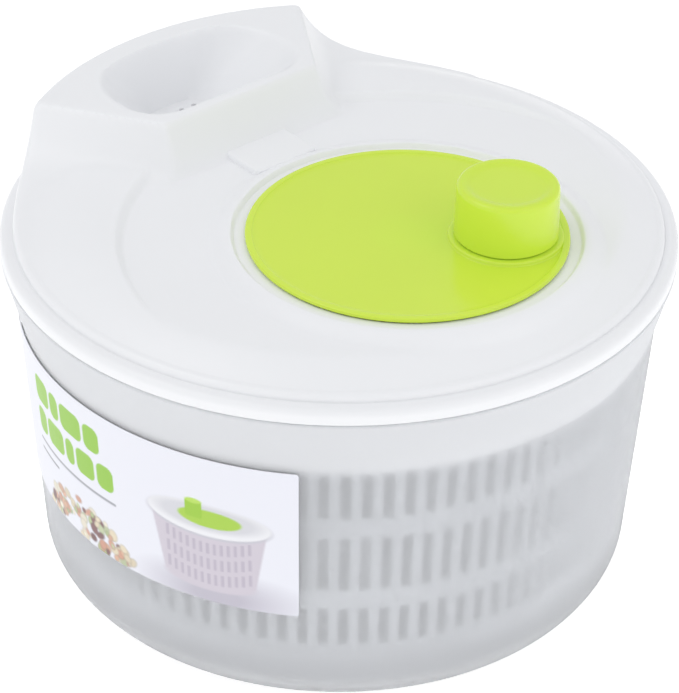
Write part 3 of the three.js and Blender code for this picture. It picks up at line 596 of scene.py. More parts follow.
def label_print(u, v):
    """Ink on the film: u runs from the left edge and v up from the lower edge, in metres."""
    ink = np.ones((*u.shape, 3)) * (0.86, 0.865, 0.93)

    def lay(shape, tint, strength=1.0, width=0.0004):
        mask = (soft_edge(shape, width) * strength)[..., None]
        ink[:] = ink * (1 - mask) + np.array(tint) * mask

    # two rows of plain light green tiles where a heading would stand
    for foot, tiles in ((45, (13, 8, 15, 10)), (31, (9, 14, 7, 12, 10))):
        start = 29
        for wide in tiles:
            lay(panel(u, v, start * MM, (start + wide - 1.4) * MM, foot * MM, (foot + 11) * MM, 3 * MM),
                (0.32, 0.60, 0.06))
            start += wide
    # thin dark lines below them
    for foot, long in ((26, 52), (21.5, 16)):
        lay(panel(u, v, 28 * MM, (28 + long) * MM, foot * MM, (foot + 1) * MM, 0.5 * MM),
            (0.16, 0.16, 0.19), 0.8)
    # a small drawing of a spinner: shadow, bowl, slots, lid, disc and knob
    cu, foot, rim = 119 * MM, 9 * MM, 36 * MM
    lay(ellipse(u, v, cu + 3 * MM, foot - 6 * MM, 23 * MM, 9 * MM), (0.42, 0.38, 0.46), 0.7, 0.011)
    lift = (v - foot) / (rim - foot)
    side = np.maximum(np.abs(u - cu) - (17.5 + 4.5 * lift) * MM, np.maximum(foot - v, v - rim))
    bowl = np.minimum(side, ellipse(u, v, cu, foot, 17.5 * MM, 4 * MM))
    lay(bowl, (0.66, 0.61, 0.68), 1.0, 0.0008)
    for row in (11, 18, 25):
        for k in range(-6, 7):
            sag = 0.09 * k * k - 3.2
            lay(panel(u, v, cu + (k * 2.6 - 0.6) * MM, cu + (k * 2.6 + 0.6) * MM,
                      (row + sag) * MM, (row + sag + 5) * MM, 0.3 * MM), (0.50, 0.45, 0.54), 0.75)
    lay(ellipse(u, v, cu, rim, 23.6 * MM, 7.2 * MM), (0.60, 0.59, 0.65), 1.0, 0.0008)
    lay(ellipse(u, v, cu, rim + 0.8 * MM, 23.4 * MM, 7 * MM), (0.88, 0.88, 0.91))
    lay(ellipse(u, v, cu, rim + 1.8 * MM, 20.5 * MM, 5.6 * MM), (0.70, 0.70, 0.74), 1.0, 0.002)
    lay(ellipse(u, v, cu + MM, rim + 1.6 * MM, 12 * MM, 3.8 * MM), (0.42, 0.66, 0.07))
    lay(panel(u, v, cu - 8 * MM, cu - 1.5 * MM, rim + MM, rim + 8.5 * MM, 1 * MM), (0.36, 0.62, 0.05))
    lay(ellipse(u, v, cu - 4.7 * MM, rim + 8.3 * MM, 3.2 * MM, 1.1 * MM), (0.52, 0.76, 0.12))
    # a heap of chopped vegetables
    rng = np.random.default_rng(7)
    tints = ((0.74, 0.46, 0.32), (0.50, 0.58, 0.30), (0.80, 0.70, 0.52), (0.68, 0.36, 0.26),
             (0.60, 0.66, 0.42), (0.86, 0.80, 0.66), (0.24, 0.12, 0.12))
    for k in range(110):
        along = rng.uniform(0, 1)
        peak = 3 + 15 * math.sin(math.pi * along) ** 0.7
        middle_u, middle_v = (32 + 54 * along) * MM, rng.uniform(0.5, peak) * MM
        size = rng.uniform(1.1, 2.6) * MM
        tint = np.array(tints[rng.integers(len(tints))]) * rng.uniform(0.85, 1.1)
        flatness, lean = rng.uniform(0.6, 0.95), rng.uniform(0, math.pi)
        shape = ellipse(u, v, middle_u, middle_v, size, size * flatness, lean)
        lay(shape, np.clip(tint * 0.7, 0, 1), 0.9, 0.001)
        lay(shape + 0.3 * MM, np.clip(tint, 0, 1), 1.0, 0.0008)
    return ink


class SPINNER_OT_label(bpy.types.Operator):
    """Make the printed film on the bowl's side"""
    bl_idname = "spinner.label"
    bl_label = "Label"

    def execute(self, context):
        s = context.scene.spinner_label
        angles = np.linspace(s.centre - s.span / 2, s.centre + s.span / 2, s.columns)
        heights = np.linspace(s.low, s.high, s.rows)
        base = np.array([wall_radius(z) for z in heights])
        middle_radius = base.mean()
        u = (angles - angles[0])[:, None] * middle_radius + 0 * heights[None, :]
        v = heights[None, :] - s.low + 0 * u
        width, height = u.max(), v.max()
        ink = label_print(u, v)
        corner = 0.9 * MM
        points, colours = [], []
        for out in (s.gap + s.film, s.gap):
            for i, angle in enumerate(angles):
                inset = min(u[i, 0], width - u[i, 0])
                cut = corner - math.sqrt(max(corner ** 2 - max(corner - inset, 0) ** 2, 0))
                for j, z in enumerate(heights):
                    z = s.low + cut + (z - s.low) * (height - 2 * cut) / height
                    r = wall_radius(z) + out
                    points.append((r * math.cos(angle), r * math.sin(angle), z))
                    colours.append((*(ink[i, j] if out > s.gap else (0.8, 0.8, 0.8)), 1.0))
        rows, columns = s.rows, s.columns
        half = rows * columns
        faces = []
        for i in range(columns - 1):
            for j in range(rows - 1):
                a = i * rows + j
                faces.append((a, a + rows, a + rows + 1, a + 1))
                faces.append((a + half, a + half + 1, a + half + rows + 1, a + half + rows))
        ring = [i * rows for i in range(columns)] + [(columns - 1) * rows + j for j in range(1, rows)]
        ring += [i * rows + rows - 1 for i in range(columns - 2, -1, -1)]
        ring += list(range(rows - 2, 0, -1))
        for k, a in enumerate(ring):
            b = ring[(k + 1) % len(ring)]
            faces.append((a, a + half, b + half, b))
        mesh = bpy.data.meshes.new("label_film")
        mesh.from_pydata(points, [], faces)
        paint = mesh.color_attributes.new("print", "FLOAT_COLOR", "POINT")
        paint.data.foreach_set("color", np.array(colours, np.float32).ravel())
        work = bmesh.new()
        work.from_mesh(mesh)
        bmesh.ops.recalc_face_normals(work, faces=work.faces)
        work.to_mesh(mesh)
        work.free()
        placed(mesh, "label_film", "bowl", printed_film(), ["bowl_label"], degrees=40)
        return {"FINISHED"}


# ------------------------------------------------------------------ basket
def basket_radius(z):
    """Outside radius of the basket's wall at a height."""
    b, s = context_sizes("bowl"), context_sizes("basket")
    return wall_radius(min(z, b.height - b.collar)) - b.wall - s.gap


def context_sizes(name):
    return getattr(bpy.context.scene, "spinner_" + name)


def basket_rows():
    """Foot and top of each row of slots."""
    s = context_sizes("basket")
    shares = (0.275, 0.395, 0.33)
    first = s.floor + s.slot_low
    last = high("basket").z - s.collar - s.wall - 5.9 * MM
    free = last - first - s.bars * (len(shares) - 1)
    rows, z = [], first
    for part in shares:
        rows.append((z, z + part * free))
        z += part * free + s.bars
    return rows


class SPINNER_OT_basket(bpy.types.Operator):
    """Make the slotted basket: its slots are left out of the turned wall"""
    bl_idname = "spinner.basket"
    bl_label = "Basket"

    def execute(self, context):
        s = context.scene.spinner_basket
        half = s.wall / 2
        top = high("basket").z
        flange = top - s.collar
        corner = basket_radius(s.floor + s.fillet)
        hub_foot = low("basket").z
        hub_roof = 26.2 * MM
        bend = s.fillet - half
        # the middle line of the sheet, from the hub's foot out across the floor and up the wall
        points = [(s.hub + 1.5 * MM, s.floor + half), (s.hub + 12 * MM, s.floor + half),
                  (s.hub + 40 * MM, s.floor + half), (corner - s.fillet - 2 * MM, s.floor + half)]
        points += arc(corner - s.fillet, s.floor + s.fillet, bend, -90, -6, 8)
        open_rows = []
        for foot, head in basket_rows():
            steps = np.linspace(foot, head, 5)
            points += [(basket_radius(z) - half, z) for z in steps]
            open_rows += range(len(points) - 5, len(points) - 1)
        rim = basket_radius(flange)
        under_flange = flange - 3.4 * MM
        points += [(basket_radius(under_flange) - half, under_flange), (rim - half, flange - 1.4 * MM),
                   (rim - half, flange + 0.4 * MM), (rim - half, top - half)]
        material = finish("basket_white")
        sheet = turned(points, "basket_sheet", material, s.slots * 2, open_rows=open_rows)
        piece = object_from(sheet, "basket_sheet")
        inward = any(p.normal.dot(Vector((p.center.x, p.center.y, 0))) < 0 and p.center.z > 60 * MM
                     for p in sheet.polygons[:])
        if inward:
            sheet.flip_normals()
        wall = piece.modifiers.new("Wall", "SOLIDIFY")
        wall.thickness = s.wall
        wall.offset = 0
        wall.use_even_offset = True
        shell = evaluated(piece, "basket_shell")
        # flange, rounded upright ring and hub are turned solids joined to the sheet
        ring = turned([
            (rim - s.wall * 0.9, flange - s.wall), (rim + s.flange - 0.6 * MM, flange - s.wall),
            *arc(rim + s.flange - 1 * MM, flange - half, half, -90, 90, 6),
            (rim - s.wall * 0.9, flange), (rim - s.wall * 0.9, flange - s.wall)],
            "basket_flange", material, s.slots * 2)
        hub = turned([
            (0, hub_roof - s.wall), (s.hub_bore - 0.6 * MM, hub_roof - s.wall),
            (s.hub_bore, hub_roof - s.wall - 0.6 * MM), (s.hub_bore, hub_foot + 0.3 * MM),
            (s.hub_bore + 0.3 * MM, hub_foot), (s.hub - 0.3 * MM, hub_foot),
            (s.hub, hub_foot + 0.3 * MM), (s.hub, s.floor), (s.hub + 3 * MM, s.floor + 0.02 * MM),
            (s.hub + 3 * MM, s.floor + s.wall - 0.02 * MM),
            *arc(s.hub + 2 * MM, s.floor + s.wall + 2 * MM, 2 * MM, 270, 180, 5),
            *arc(s.hub - 2 * MM, hub_roof - 2 * MM, 2 * MM, 0, 90, 5), (0, hub_roof)],
            "basket_hub", material, 96)
        drain = block(s.hub + 12 * MM, s.hub + 50 * MM, -1.5 * MM, 1.5 * MM, 0, s.floor + 2 * s.wall,
                      rounding=1.4 * MM)
        drains = grown(copies_tree, drain, "drain_cuts", material, {
            "Count": s.drains, "First angle": math.pi / s.drains, "Angle step": TAU / s.drains})
        arms = 4
        notch = block(rim - 8 * MM, rim + MM, -6.05 * MM, 6.05 * MM, flange, top + MM)
        notches = grown(copies_tree, notch, "notch_cuts", material, {
            "Count": arms, "First angle": math.pi / arms, "Angle step": TAU / arms})
        whole = carved(shell, "slotted_basket", cuts=[drains, notches], joins=[ring, hub])
        placed(whole, "slotted_basket", "basket", material, ["basket"], degrees=35)
        return {"FINISHED"}


# ------------------------------------------------------------------ lid
def soft_min(a, b, k):
    h = np.clip(0.5 + (b - a) / (2 * k), 0, 1)
    return b * (1 - h) + a * h - k * h * (1 - h)


def soft_max(a, b, k):
    return -soft_min(-a, -b, k)


def ease(t):
    t = np.clip(t, 0, 1)
    return t * t * (3 - 2 * t)


def lid_surface(x, y):
    """Height of the lid's upper skin outside the gear pocket."""
    s = context_sizes("lid")
    r = np.hypot(x, y)
    across = np.hypot(x - CRANK_AXIS.x, y - CRANK_AXIS.y)
    edge = s.step_radius - 1.2 * MM
    dome = s.step + s.rise * np.sin(math.pi / 2 * np.clip((edge - r) / s.run, -0.2, 1))
    sunk = s.step + s.rise - s.recess_depth
    inside = soft_min(dome, sunk + 0 * r, 0.8 * MM)
    base = inside + (dome - inside) * ease((across - s.recess + 1.8 * MM) / (3.6 * MM))
    crown = s.gutter_height + s.lip
    fall = 0.5 + 0.5 * np.cos(math.pi * np.clip((across - s.gutter - 1.6 * MM) / s.lip_width, 0, 1))
    rim = base + (crown - base) * fall
    climb = ease((across - s.gutter) / (1.6 * MM))
    base = np.where(across < s.gutter + 1.6 * MM, s.gutter_height + (crown - s.gutter_height) * climb, rim)
    # the raised end: flat top, sloping front, ends that run down and fade into the dome
    beyond = np.degrees(np.arctan2(np.abs(x), y)) - math.degrees(s.boss_angle)
    past = np.maximum(beyond, 0)
    ends = s.boss_top - MM * (20 * (1 - np.exp(-past / 5.2)) + 5.5 * (1 - np.exp(-past / 24)))
    ends += np.maximum(-beyond, 0) * 1.2 * MM
    front = s.boss_top - (s.boss_top - sunk) * (s.boss_front - y) / s.boss_slope
    boss = soft_min(soft_min(front, ends, 2.4 * MM), s.boss_top + 0 * r, 1.6 * MM)
    z = soft_max(base, boss, 2.2 * MM)
    cup = funnel_surface(x, y)
    return np.where(y > s.boss_front - 4 * MM, soft_min(z, cup, 1.5 * MM), z)


def funnel_surface(x, y):
    """Height of the funnel's wall at each point, found by halving between its floor and its mouth."""
    s = context_sizes("lid")
    r = np.hypot(x, y)
    floor_half, floor_front, floor_back = 14 * MM, 74 * MM, 102 * MM
    depth = s.boss_top - s.funnel_floor

    def outside(t):
        wide = floor_half + (s.mouth - floor_half) * t
        front = floor_front - (floor_front - s.mouth_front) * t ** 0.9
        back = floor_back + (s.mouth_back - floor_back) * t
        corner = (6 + 10 * t) * MM
        dx = np.abs(x) - (wide - corner)
        dy = np.maximum(front + corner - y, r - (back - corner))
        reach = np.hypot(np.maximum(dx, 0), np.maximum(dy, 0)) + np.minimum(np.maximum(dx, dy), 0)
        return reach - corner

    small, large = np.zeros_like(x), np.full_like(x, 1.5)
    for _ in range(26):
        t = (small + large) / 2
        out = outside(t) > 0
        small = np.where(out, t, small)
        large = np.where(out, large, t)
    t = (small + large) / 2
    wall = s.funnel_floor + depth * t
    return soft_max(wall, s.funnel_floor + 0 * x, 1.6 * MM)


def lid_rings():
    """Closed rings of points from the pocket's floor up over the skin, round the edge and back underneath."""
    s = context_sizes("lid")
    u = np.linspace(0, TAU, s.columns, endpoint=False)
    angle = u + math.pi / 2 - 0.42 * np.sin(u)  # closer together at the raised end
    cos, sin = np.cos(angle), np.sin(angle)
    rings = []

    def circle(radius, z, centre=0.0):
        rings.append(np.stack([radius * cos, centre + radius * sin, z + 0 * cos], 1))

    def skin(t, inner, outer, offset=0.0):
        """A ring on the skin: round the crank's axis for t 0, round the bowl's for t 1."""
        radius = inner + (outer - inner) * t
        centre = CRANK_AXIS.y * (1 - t)
        x, y = radius * cos, centre + radius * sin
        z = lid_surface(x, y)
        if offset:
            step = 0.2 * MM
            dx = (lid_surface(x + step, y) - z) / step
            dy = (lid_surface(x, y + step) - z) / step
            z = z - offset * np.minimum(np.sqrt(1 + dx ** 2 + dy ** 2), 2.4)
        rings.append(np.stack([x, y, z], 1))
        return z

    axis = CRANK_AXIS.y
    for radius, z in [(3 * MM, s.pocket_floor), (30 * MM, s.pocket_floor), (50 * MM, s.pocket_floor),
                      *arc(s.pocket - 1 * MM, s.pocket_floor + 1 * MM, 1 * MM, 270, 360, 4),
                      (s.pocket, s.gutter_height - 0.5 * MM),
                      *arc(s.pocket + 0.4 * MM, s.gutter_height - 0.4 * MM, 0.4 * MM, 170, 100, 3)]:
        circle(radius, z, axis)
    inner, outer, edge = s.pocket + 0.4 * MM, s.step_radius - 3 * MM, 3 * MM
    stations = np.concatenate([np.linspace(0, 0.28, 40, endpoint=False), np.linspace(0.28, 1, 92)])
    for t in stations:
        z = skin(t, inner, outer)
    fall = np.minimum(edge, z - s.ledge - 0.15 * MM)
    for t in np.linspace(15, 90, 6):
        t = math.radians(t)
        circle(outer + edge * math.sin(t), z - fall * (1 - math.cos(t)))
    wall = rings[-1][:, 2]
    for t in (0.25, 0.5, 0.75):
        circle(s.step_radius, wall + (s.ledge + 0.7 * MM - wall) * t * (wall > s.ledge + 2 * MM))
    rim = high("lid").x
    brim = s.skirt + 13 * MM
    inside = s.step_radius - s.wall
    # the skirt hangs inside the bowl's collar, with a small gap all round
    foot = s.skirt + 0.5 * MM
    head = brim - 0.4 * MM
    foot_radius, head_radius = 117.0 * MM, 120.05 * MM
    for radius, z in [
            *arc(s.step_radius + 0.5 * MM, s.ledge + 0.5 * MM, 0.5 * MM, 180, 270, 3),
            (s.step_radius + 1.5 * MM, s.ledge),
            *arc(rim - 2.8 * MM, s.ledge - 2.8 * MM, 2.8 * MM, 90, 0, 7), (rim, brim + 1 * MM),
            *arc(rim - 0.5 * MM, brim + 0.5 * MM, 0.5 * MM, 0, -90, 3),
            (head_radius + 0.35 * MM, brim), (head_radius, head), (foot_radius, foot),
            *arc(foot_radius - 0.6 * MM, foot, 0.5 * MM, 0, -90, 3),
            *arc(foot_radius - 1.4 * MM, foot, 0.5 * MM, -90, -180, 3),
            (head_radius - 1.85 * MM, head), (head_radius - 1.85 * MM, brim + 0.4 * MM),
            (inside, s.ledge - s.wall), (inside - 0.1 * MM, s.ledge - s.wall + 0.6 * MM)]:
        circle(radius, z)
    under_outer = inside - 1.5 * MM
    under_inner = s.pocket + s.wall
    start = len(rings)
    for t in np.linspace(1, 0, 46):
        skin(t, under_inner, under_outer, s.wall)
    first = rings[start][:, 2]
    corner = np.maximum(first - 0.9 * MM, s.ledge - s.wall + 0.8 * MM)
    rings.insert(start, np.stack([(inside - 0.3 * MM) * cos, (inside - 0.3 * MM) * sin, corner], 1))
    under = s.pocket_floor - s.wall
    for radius, z in [(under_inner, s.gutter_height - s.wall - 1 * MM), (under_inner, under + 0.6 * MM),
                      (under_inner - 0.6 * MM, under), (50 * MM, under), (30 * MM, under), (3 * MM, under)]:
        circle(radius, z, axis)
    return rings


class SPINNER_OT_lid(bpy.types.Operator):
    """Make the domed lid with its raised funnel end, gutter, pad, skirt and bearings"""
    bl_idname = "spinner.lid"
    bl_label = "Lid"

    def execute(self, context):
        s = context.scene.spinner_lid
        rings = lid_rings()
        columns = s.columns
        points = np.concatenate([*rings, [[0, CRANK_AXIS.y, s.pocket_floor]],
                                 [[0, CRANK_AXIS.y, s.pocket_floor - s.wall]]])
        faces = []
        for k in range(len(rings) - 1):
            for i in range(columns):
                j = (i + 1) % columns
                a = k * columns
                faces.append((a + i, a + columns + i, a + columns + j, a + j))
        top, bottom = len(points) - 2, len(points) - 1
        last = (len(rings) - 1) * columns
        for i in range(columns):
            j = (i + 1) % columns
            faces.append((top, i, j))
            faces.append((bottom, last + j, last + i))
        shell = bpy.data.meshes.new("lid_shell")
        shell.from_pydata(points.tolist(), [], faces)
        tidied(shell)
        material = finish("white")
        sunk = s.step + s.rise - s.recess_depth
        pad = raised_pad(s, sunk)
        foot = low("crank_bushing").z
        tubes, bores = [], []
        for radius, axis in ((10.9 * MM, CRANK_AXIS), (8.2 * MM, Vector((0, 0)))):
            tubes.append(turned([
                (radius - 2 * MM, s.pocket_floor - 0.6 * MM), (radius - 2 * MM, foot),
                (radius + 1.9 * MM, foot),
                *arc(radius + 1.9 * MM, foot + 0.4 * MM, 0.4 * MM, -90, 0, 2),
                (radius + 2.3 * MM, s.pocket_floor - s.wall - 1.2 * MM),
                (radius + 3.5 * MM, s.pocket_floor - s.wall - 0.01 * MM),
                (radius + 3.5 * MM, s.pocket_floor - 0.6 * MM), (radius - 2 * MM, s.pocket_floor - 0.6 * MM)],
                "bearing_tube", material, 64, axis))
            bores.append(turned([(0, foot - MM), (radius, foot - MM), (radius, s.pocket_floor + MM),
                                 (0, s.pocket_floor + MM)], "bearing_bore", material, 64, axis))
        half, reach, pitch, count = 1.2 * MM, 9 * MM, 6 * MM, 4
        slot = block(-half, half, -reach, reach, s.funnel_floor - 8 * MM, s.funnel_floor + 3 * MM,
                     rounding=half - 0.05 * MM)
        drains = grown(copies_tree, slot, "funnel_drains", material, {
            "Count": count, "Start": (-pitch * (count - 1) / 2, 88 * MM, 0.0), "Step": (pitch, 0.0, 0.0)})
        whole = carved(shell, "domed_lid", cuts=[*bores, drains], joins=[pad, *tubes])
        placed(whole, "domed_lid", "lid", material, ["lid"], degrees=38)
        return {"FINISHED"}


def raised_pad(s, sunk):
    """The low pad between the gutter's lip and the raised end, its upper edges rounded."""
    half, front, back = s.pad / 2, 30 * MM, s.boss_front - 3 * MM
    rise, rounding = s.pad_rise, 0.9 * MM
    mesh = bpy.data.meshes.new("pad")
    levels = [(0, -2 * MM), (0, rise - rounding)]
    levels += [(rounding * (1 - math.cos(math.radians(a))), rise - rounding * (1 - math.sin(math.radians(a))))
               for a in (22, 45, 67, 90)]
    points, faces = [], []
    for inset, z in levels:
        x, y = half - inset, front + inset
        bow = [(-x, back), (x, back), (x, y), (x * 0.5, y - 0.9 * MM), (0, y - 1.3 * MM),
               (-x * 0.5, y - 0.9 * MM), (-x, y)]
        points += [(px, py, sunk + z) for px, py in bow]
    n = 7
    for k in range(len(levels) - 1):
        for i in range(n):
            a, b = k * n + i, k * n + (i + 1) % n
            faces.append((a, b, b + n, a + n))
    faces += [tuple(reversed(range(n))), tuple(range(len(points) - n, len(points)))]
    mesh.from_pydata(points, [], faces)
    return tidied(mesh)


# ------------------------------------------------------------------ crank and knob
class SPINNER_OT_crank(bpy.types.Operator):
    """Make the green crank disc with its edge band, the ring at the knob's foot, shaft and screw posts"""
    bl_idname = "spinner.crank"
    bl_label = "Crank disc"

    def execute(self, context):
        s = context.scene.spinner_crank
        material = finish("green")
        foot = low("crank_disc").z
        under = s.face + s.rim - s.thick
        top = s.face + s.rim
        shoulder = high("crank_bushing").z + SEAT_GAP
        band = s.disc - s.rim_width
        disc = turned([
            (0, foot), (s.journal - 0.5 * MM, foot), (s.journal, foot + 0.5 * MM), (s.journal, shoulder),
            (s.journal + 4 * MM, shoulder), *arc(s.journal + 6 * MM, under - 2 * MM, 2 * MM, 180, 90, 5),
            (s.disc - 0.7 * MM, under), *arc(s.disc - 0.5 * MM, under + 0.5 * MM, 0.5 * MM, -80, 0, 3),
            *arc(s.disc - 0.7 * MM, top - 0.7 * MM, 0.7 * MM, 0, 90, 6),
            *arc(band + 0.9 * MM, top - 0.6 * MM, 0.6 * MM, 90, 150, 5),
            (band - 0.2 * MM, s.face + 0.12 * MM),
            (band - 0.9 * MM, s.face + 0.02 * MM), (band - 1.8 * MM, s.face),
            (band - 8 * MM, s.face), (band - 20 * MM, s.face), (0, s.face)],
            "disc", material, 160, CRANK_AXIS)
        ring = s.pedestal
        pedestal = turned([
            (0, s.face - 0.7 * MM), (ring + 0.5 * MM, s.face - 0.7 * MM),
            (ring + 0.5 * MM, s.face + 0.02 * MM),
            *arc(ring + 0.5 * MM, s.face + 0.5 * MM, 0.45 * MM, 270, 190, 4),
            *arc(ring - 0.8 * MM, s.pedestal_top - 0.8 * MM, 0.8 * MM, 0, 90, 6),
            (ring - 1.5 * MM, s.pedestal_top), (0, s.pedestal_top)],
            "pedestal", material, 96, KNOB_AXIS)
        screw = middle("ring_gear_screw_1").xy - CRANK_AXIS
        post_foot = high("ring_gear_screw_1").z - 3 * MM
        post = turned([
            (0, post_foot), (1.3 * MM, post_foot), (1.9 * MM, post_foot), (2.1 * MM, post_foot + 0.3 * MM),
            (2.1 * MM, under + 0.4 * MM), (0, under + 0.4 * MM)],
            "post", material, 24, (screw.length, 0))
        around = {"Count": 3, "Start": (CRANK_AXIS.x, CRANK_AXIS.y, 0.0),
                  "First angle": math.atan2(screw.y, screw.x), "Angle step": TAU / 3}
        posts = grown(copies_tree, post, "screw_posts", material, around)
        hole = turned([(0, post_foot - MM), (1.3 * MM, post_foot - MM), (1.3 * MM, under), (0, under)],
                      "post_hole", material, 16, (screw.length, 0))
        holes = grown(copies_tree, hole, "post_holes", material, around)
        roof = s.pedestal_top - 1.2 * MM
        room = turned([(0, under - MM), (10 * MM, under - MM), (10 * MM, roof), (0, roof)],
                      "washer_room", material, 64, KNOB_AXIS)
        stem = turned([(0, under - MM), (5.3 * MM, under - MM), (5.3 * MM, s.pedestal_top + MM),
                       (0, s.pedestal_top + MM)], "stem_hole", material, 48, KNOB_AXIS)
        core = turned([
            (0, foot - MM), (1.8 * MM, foot - MM), (1.8 * MM, foot + 14 * MM), (0, foot + 14 * MM)],
            "screw_hole", material, 24, CRANK_AXIS)
        whole = carved(disc, "crank_plate", cuts=[room, stem, holes, core], joins=[pedestal, posts])
        placed(whole, "crank_plate", "crank", material, ["crank_disc"], degrees=30)
        return {"FINISHED"}


class SPINNER_OT_knob(bpy.types.Operator):
    """Make the hollow green knob with its dished top and stem"""
    bl_idname = "spinner.knob"
    bl_label = "Knob"

    def execute(self, context):
        s = context.scene.spinner_crank
        material = finish("green")
        foot, top = s.pedestal_top + SEAT_GAP, high("knob").z
        stem_foot = low("knob").z
        roof = top - 3.5 * MM
        lean = 0.35 * MM
        edge = s.knob_edge
        mesh = turned([
            (0, stem_foot + 12 * MM), (1.6 * MM, stem_foot + 12 * MM), (1.6 * MM, stem_foot),
            (4.7 * MM, stem_foot), (5 * MM, stem_foot + 0.3 * MM), (5 * MM, roof - 1 * MM),
            *arc(6 * MM, roof - 1 * MM, 1 * MM, 180, 90, 3),
            *arc(s.knob - s.knob_wall - 1.4 * MM, roof - 1 * MM, 1 * MM, 90, 0, 3),
            (s.knob - s.knob_wall, foot + 0.3 * MM), (s.knob - s.knob_wall + 0.3 * MM, foot),
            (s.knob - 0.4 * MM, foot), (s.knob, foot + 0.4 * MM), (s.knob - 0.02 * MM, foot + 2 * MM),
            (s.knob - lean * 0.5, (foot + top) / 2),
            *arc(s.knob - lean - edge, top - edge, edge, 0, 90, 8),
            (s.knob - edge - 1.2 * MM, top - 0.03 * MM),
            (s.knob - edge - 2.2 * MM, top - s.knob_dish * 0.35),
            (s.knob - edge - 3.2 * MM, top - s.knob_dish * 0.8),
            (s.knob - edge - 4.4 * MM, top - s.knob_dish * 0.97),
            (s.knob * 0.4, top - s.knob_dish), (0, top - s.knob_dish)],
            "turning_knob", material, 128, KNOB_AXIS)
        placed(mesh, "turning_knob", "knob", material, ["knob"], degrees=35)
        return {"FINISHED"}


# ------------------------------------------------------------------ gears, bushes and screws
def screw_mesh(node, material):
    """A pan-head screw with a cross recess and a ridged shank, in the place of a frame node."""
    foot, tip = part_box(node)
    axis = ((foot + tip) / 2).xy
    head = (tip.x - foot.x) / 2
    seat = foot.z + 2.2 * MM
    core = head * 0.36
    point = tip.z
    ridges = max(int((point - seat) / (0.9 * MM)), 3)
    shank = []
    for k in range(ridges):
        z = seat + (point - 1.5 * MM - seat) * k / ridges
        shank += [(core * 0.84, z + 0.1 * MM), (core, z + 0.35 * MM), (core * 0.84, z + 0.6 * MM)]
    profile = [(0, foot.z + 0.1 * MM), (head * 0.35, foot.z), (head * 0.72, foot.z + 0.25 * MM),
               (head * 0.92, foot.z + 0.7 * MM), (head, foot.z + 1.2 * MM), (head, seat), (core * 0.84, seat),
               *shank, (core * 0.84, point - 1.5 * MM), (0, point)]
    body = turned(profile, "screw", material, 24, axis)
    wide, thin = head * 0.55, head * 0.11
    cuts = [block(axis.x - a, axis.x + a, axis.y - b, axis.y + b, foot.z - MM, foot.z + 1.1 * MM)
            for a, b in ((wide, thin), (thin, wide))]
    return carved(body, "screw", cuts=cuts)


class SPINNER_OT_inner_parts(bpy.types.Operator):
    """Paint the gears, bushes and washers, and make the screws"""
    bl_idname = "spinner.inner_parts"
    bl_label = "Gears, bushes and screws"

    def execute(self, context):
        steel = finish("steel")
        screws = {
            "crank": ["ring_gear_screw_1", "ring_gear_screw_2", "ring_gear_screw_3", "crank_screw"],
            "driver": ["drive_screw"],
            "knob": ["knob_screw"],
        }
        for body, nodes in screws.items():
            for node in nodes:
                placed(screw_mesh(node, steel), "cross_head_" + node, body, steel, [node])
        kept = {
            "natural": ["basket_bush", "crank_bushing", "drive_bushing", "drive_pinion", "ring_gear"],
            "steel": ["drive_washer", "crank_washer", "knob_washer"],
            "basket_white": ["drive_spider"],
        }
        for slot_name, nodes in kept.items():
            for node in nodes:
                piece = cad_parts[node]
                piece.data.materials.clear()
                piece.data.materials.append(finish(slot_name))
        return {"FINISHED"}


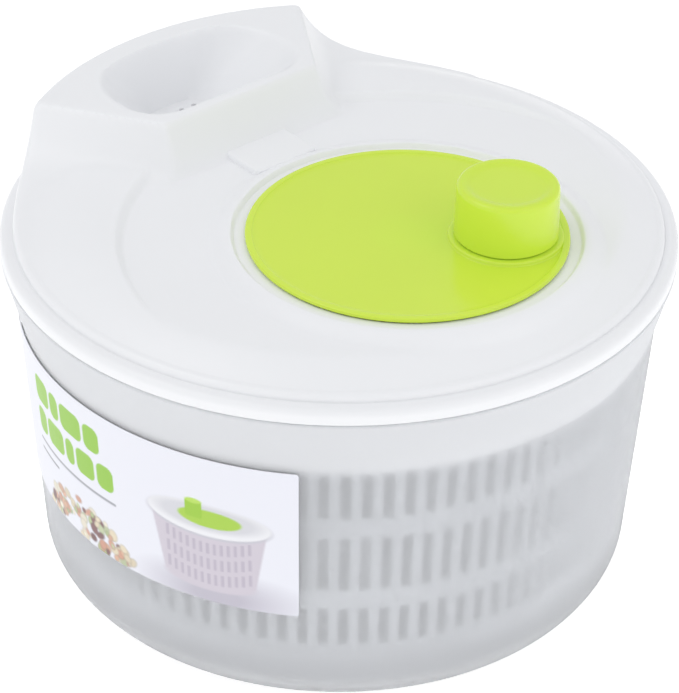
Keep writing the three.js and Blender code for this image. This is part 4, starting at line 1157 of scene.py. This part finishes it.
# ------------------------------------------------------------------ stage
class SPINNER_OT_stage(bpy.types.Operator):
    """Set up the floor, the soft lights and the camera"""
    bl_idname = "spinner.stage"
    bl_label = "Stage"

    def execute(self, context):
        scene = context.scene
        s = scene.spinner_stage
        mesh = bpy.data.meshes.new("floor")
        half, count = s.floor, 16
        steps = np.linspace(-half, half, count + 1)
        points = [(x, y, -0.1 * MM) for x in steps for y in steps]
        across = count + 1
        starts = [i * across + j for i in range(count) for j in range(count)]
        faces = [(a, a + across, a + across + 1, a + 1) for a in starts]
        mesh.from_pydata(points, [], faces)
        floor = object_from(mesh, "floor")
        paint = moulded("studio_floor", scene.spinner_finishes.floor, 0.7, 0.01, **{
            "Emission Color": (1, 1, 1, 1), "Emission Strength": 0.75, "Specular IOR Level": 0.1})
        mesh.materials.append(paint)

        world = bpy.data.worlds.new("studio")
        world.use_nodes = True
        world.node_tree.nodes["Background"].inputs["Color"].default_value = (0.97, 0.98, 1.0, 1)
        world.node_tree.nodes["Background"].inputs["Strength"].default_value = 0.76
        scene.world = world

        for name, place, size, power in (
            ("key", (-0.9, 0.5, 1.6), 1.2, 4),
            ("fill", (0.4, -1.6, 1.1), 1.6, 3),
        ):
            light = bpy.data.lights.new(name, "AREA")
            light.shape = "DISK"
            light.size = size
            light.energy = power
            lamp = bpy.data.objects.new(name, light)
            lamp.location = place
            aim = Vector((0, 0, s.target)) - Vector(place)
            lamp.rotation_euler = aim.to_track_quat("-Z", "Y").to_euler()
            scene.collection.objects.link(lamp)

        data = bpy.data.cameras.new("camera")
        data.lens = s.lens
        data.sensor_width = 36
        data.shift_x = s.shift
        data.clip_start, data.clip_end = 0.05, 20
        camera = bpy.data.objects.new("camera", data)
        scene.collection.objects.link(camera)
        away = Vector((-math.sin(s.azimuth), math.cos(s.azimuth), 0))
        forward = away * math.cos(s.elevation) - Vector((0, 0, math.sin(s.elevation)))
        right = Vector((math.cos(s.azimuth), math.sin(s.azimuth), 0))
        up = right.cross(forward)
        c, k = math.cos(s.roll), math.sin(s.roll)
        turned_right, turned_up = right * c - up * k, right * k + up * c
        place = Vector((0, 0, s.target)) - forward * s.distance
        camera.matrix_world = Matrix((
            (turned_right.x, turned_up.x, -forward.x, place.x),
            (turned_right.y, turned_up.y, -forward.y, place.y),
            (turned_right.z, turned_up.z, -forward.z, place.z),
            (0, 0, 0, 1)))
        scene.camera = camera
        scene.view_settings.view_transform = "Standard"
        return {"FINISHED"}


class SPINNER_PT_panel(bpy.types.Panel):
    """Lists the spinner's pieces"""
    bl_idname = "SPINNER_PT_panel"
    bl_label = "Salad spinner"
    bl_space_type = "VIEW_3D"
    bl_region_type = "UI"
    bl_category = "Spinner"

    def draw(self, context):
        for operator in OPERATORS:
            self.layout.operator(operator.bl_idname, text=operator.bl_label)
        for name, group in GROUPS.items():
            box = self.layout.box()
            box.label(text=group.__name__)
            for prop in group.__annotations__:
                box.prop(getattr(context.scene, name), prop)


OPERATORS = (
    SPINNER_OT_bowl, SPINNER_OT_label, SPINNER_OT_basket, SPINNER_OT_lid, SPINNER_OT_crank, SPINNER_OT_knob,
    SPINNER_OT_inner_parts, SPINNER_OT_stage,
)
CLASSES = (*GROUPS.values(), *OPERATORS, SPINNER_PT_panel)


def register():
    for item in CLASSES:
        bpy.utils.register_class(item)
    for name, group in GROUPS.items():
        setattr(bpy.types.Scene, name, PointerProperty(type=group))


def unregister():
    for name in GROUPS:
        delattr(bpy.types.Scene, name)
    for item in reversed(CLASSES):
        bpy.utils.unregister_class(item)


def main():
    register()
    for operator in OPERATORS:
        area, name = operator.bl_idname.split(".")
        getattr(getattr(bpy.ops, area), name)()


if __name__ == "__main__":
    main()
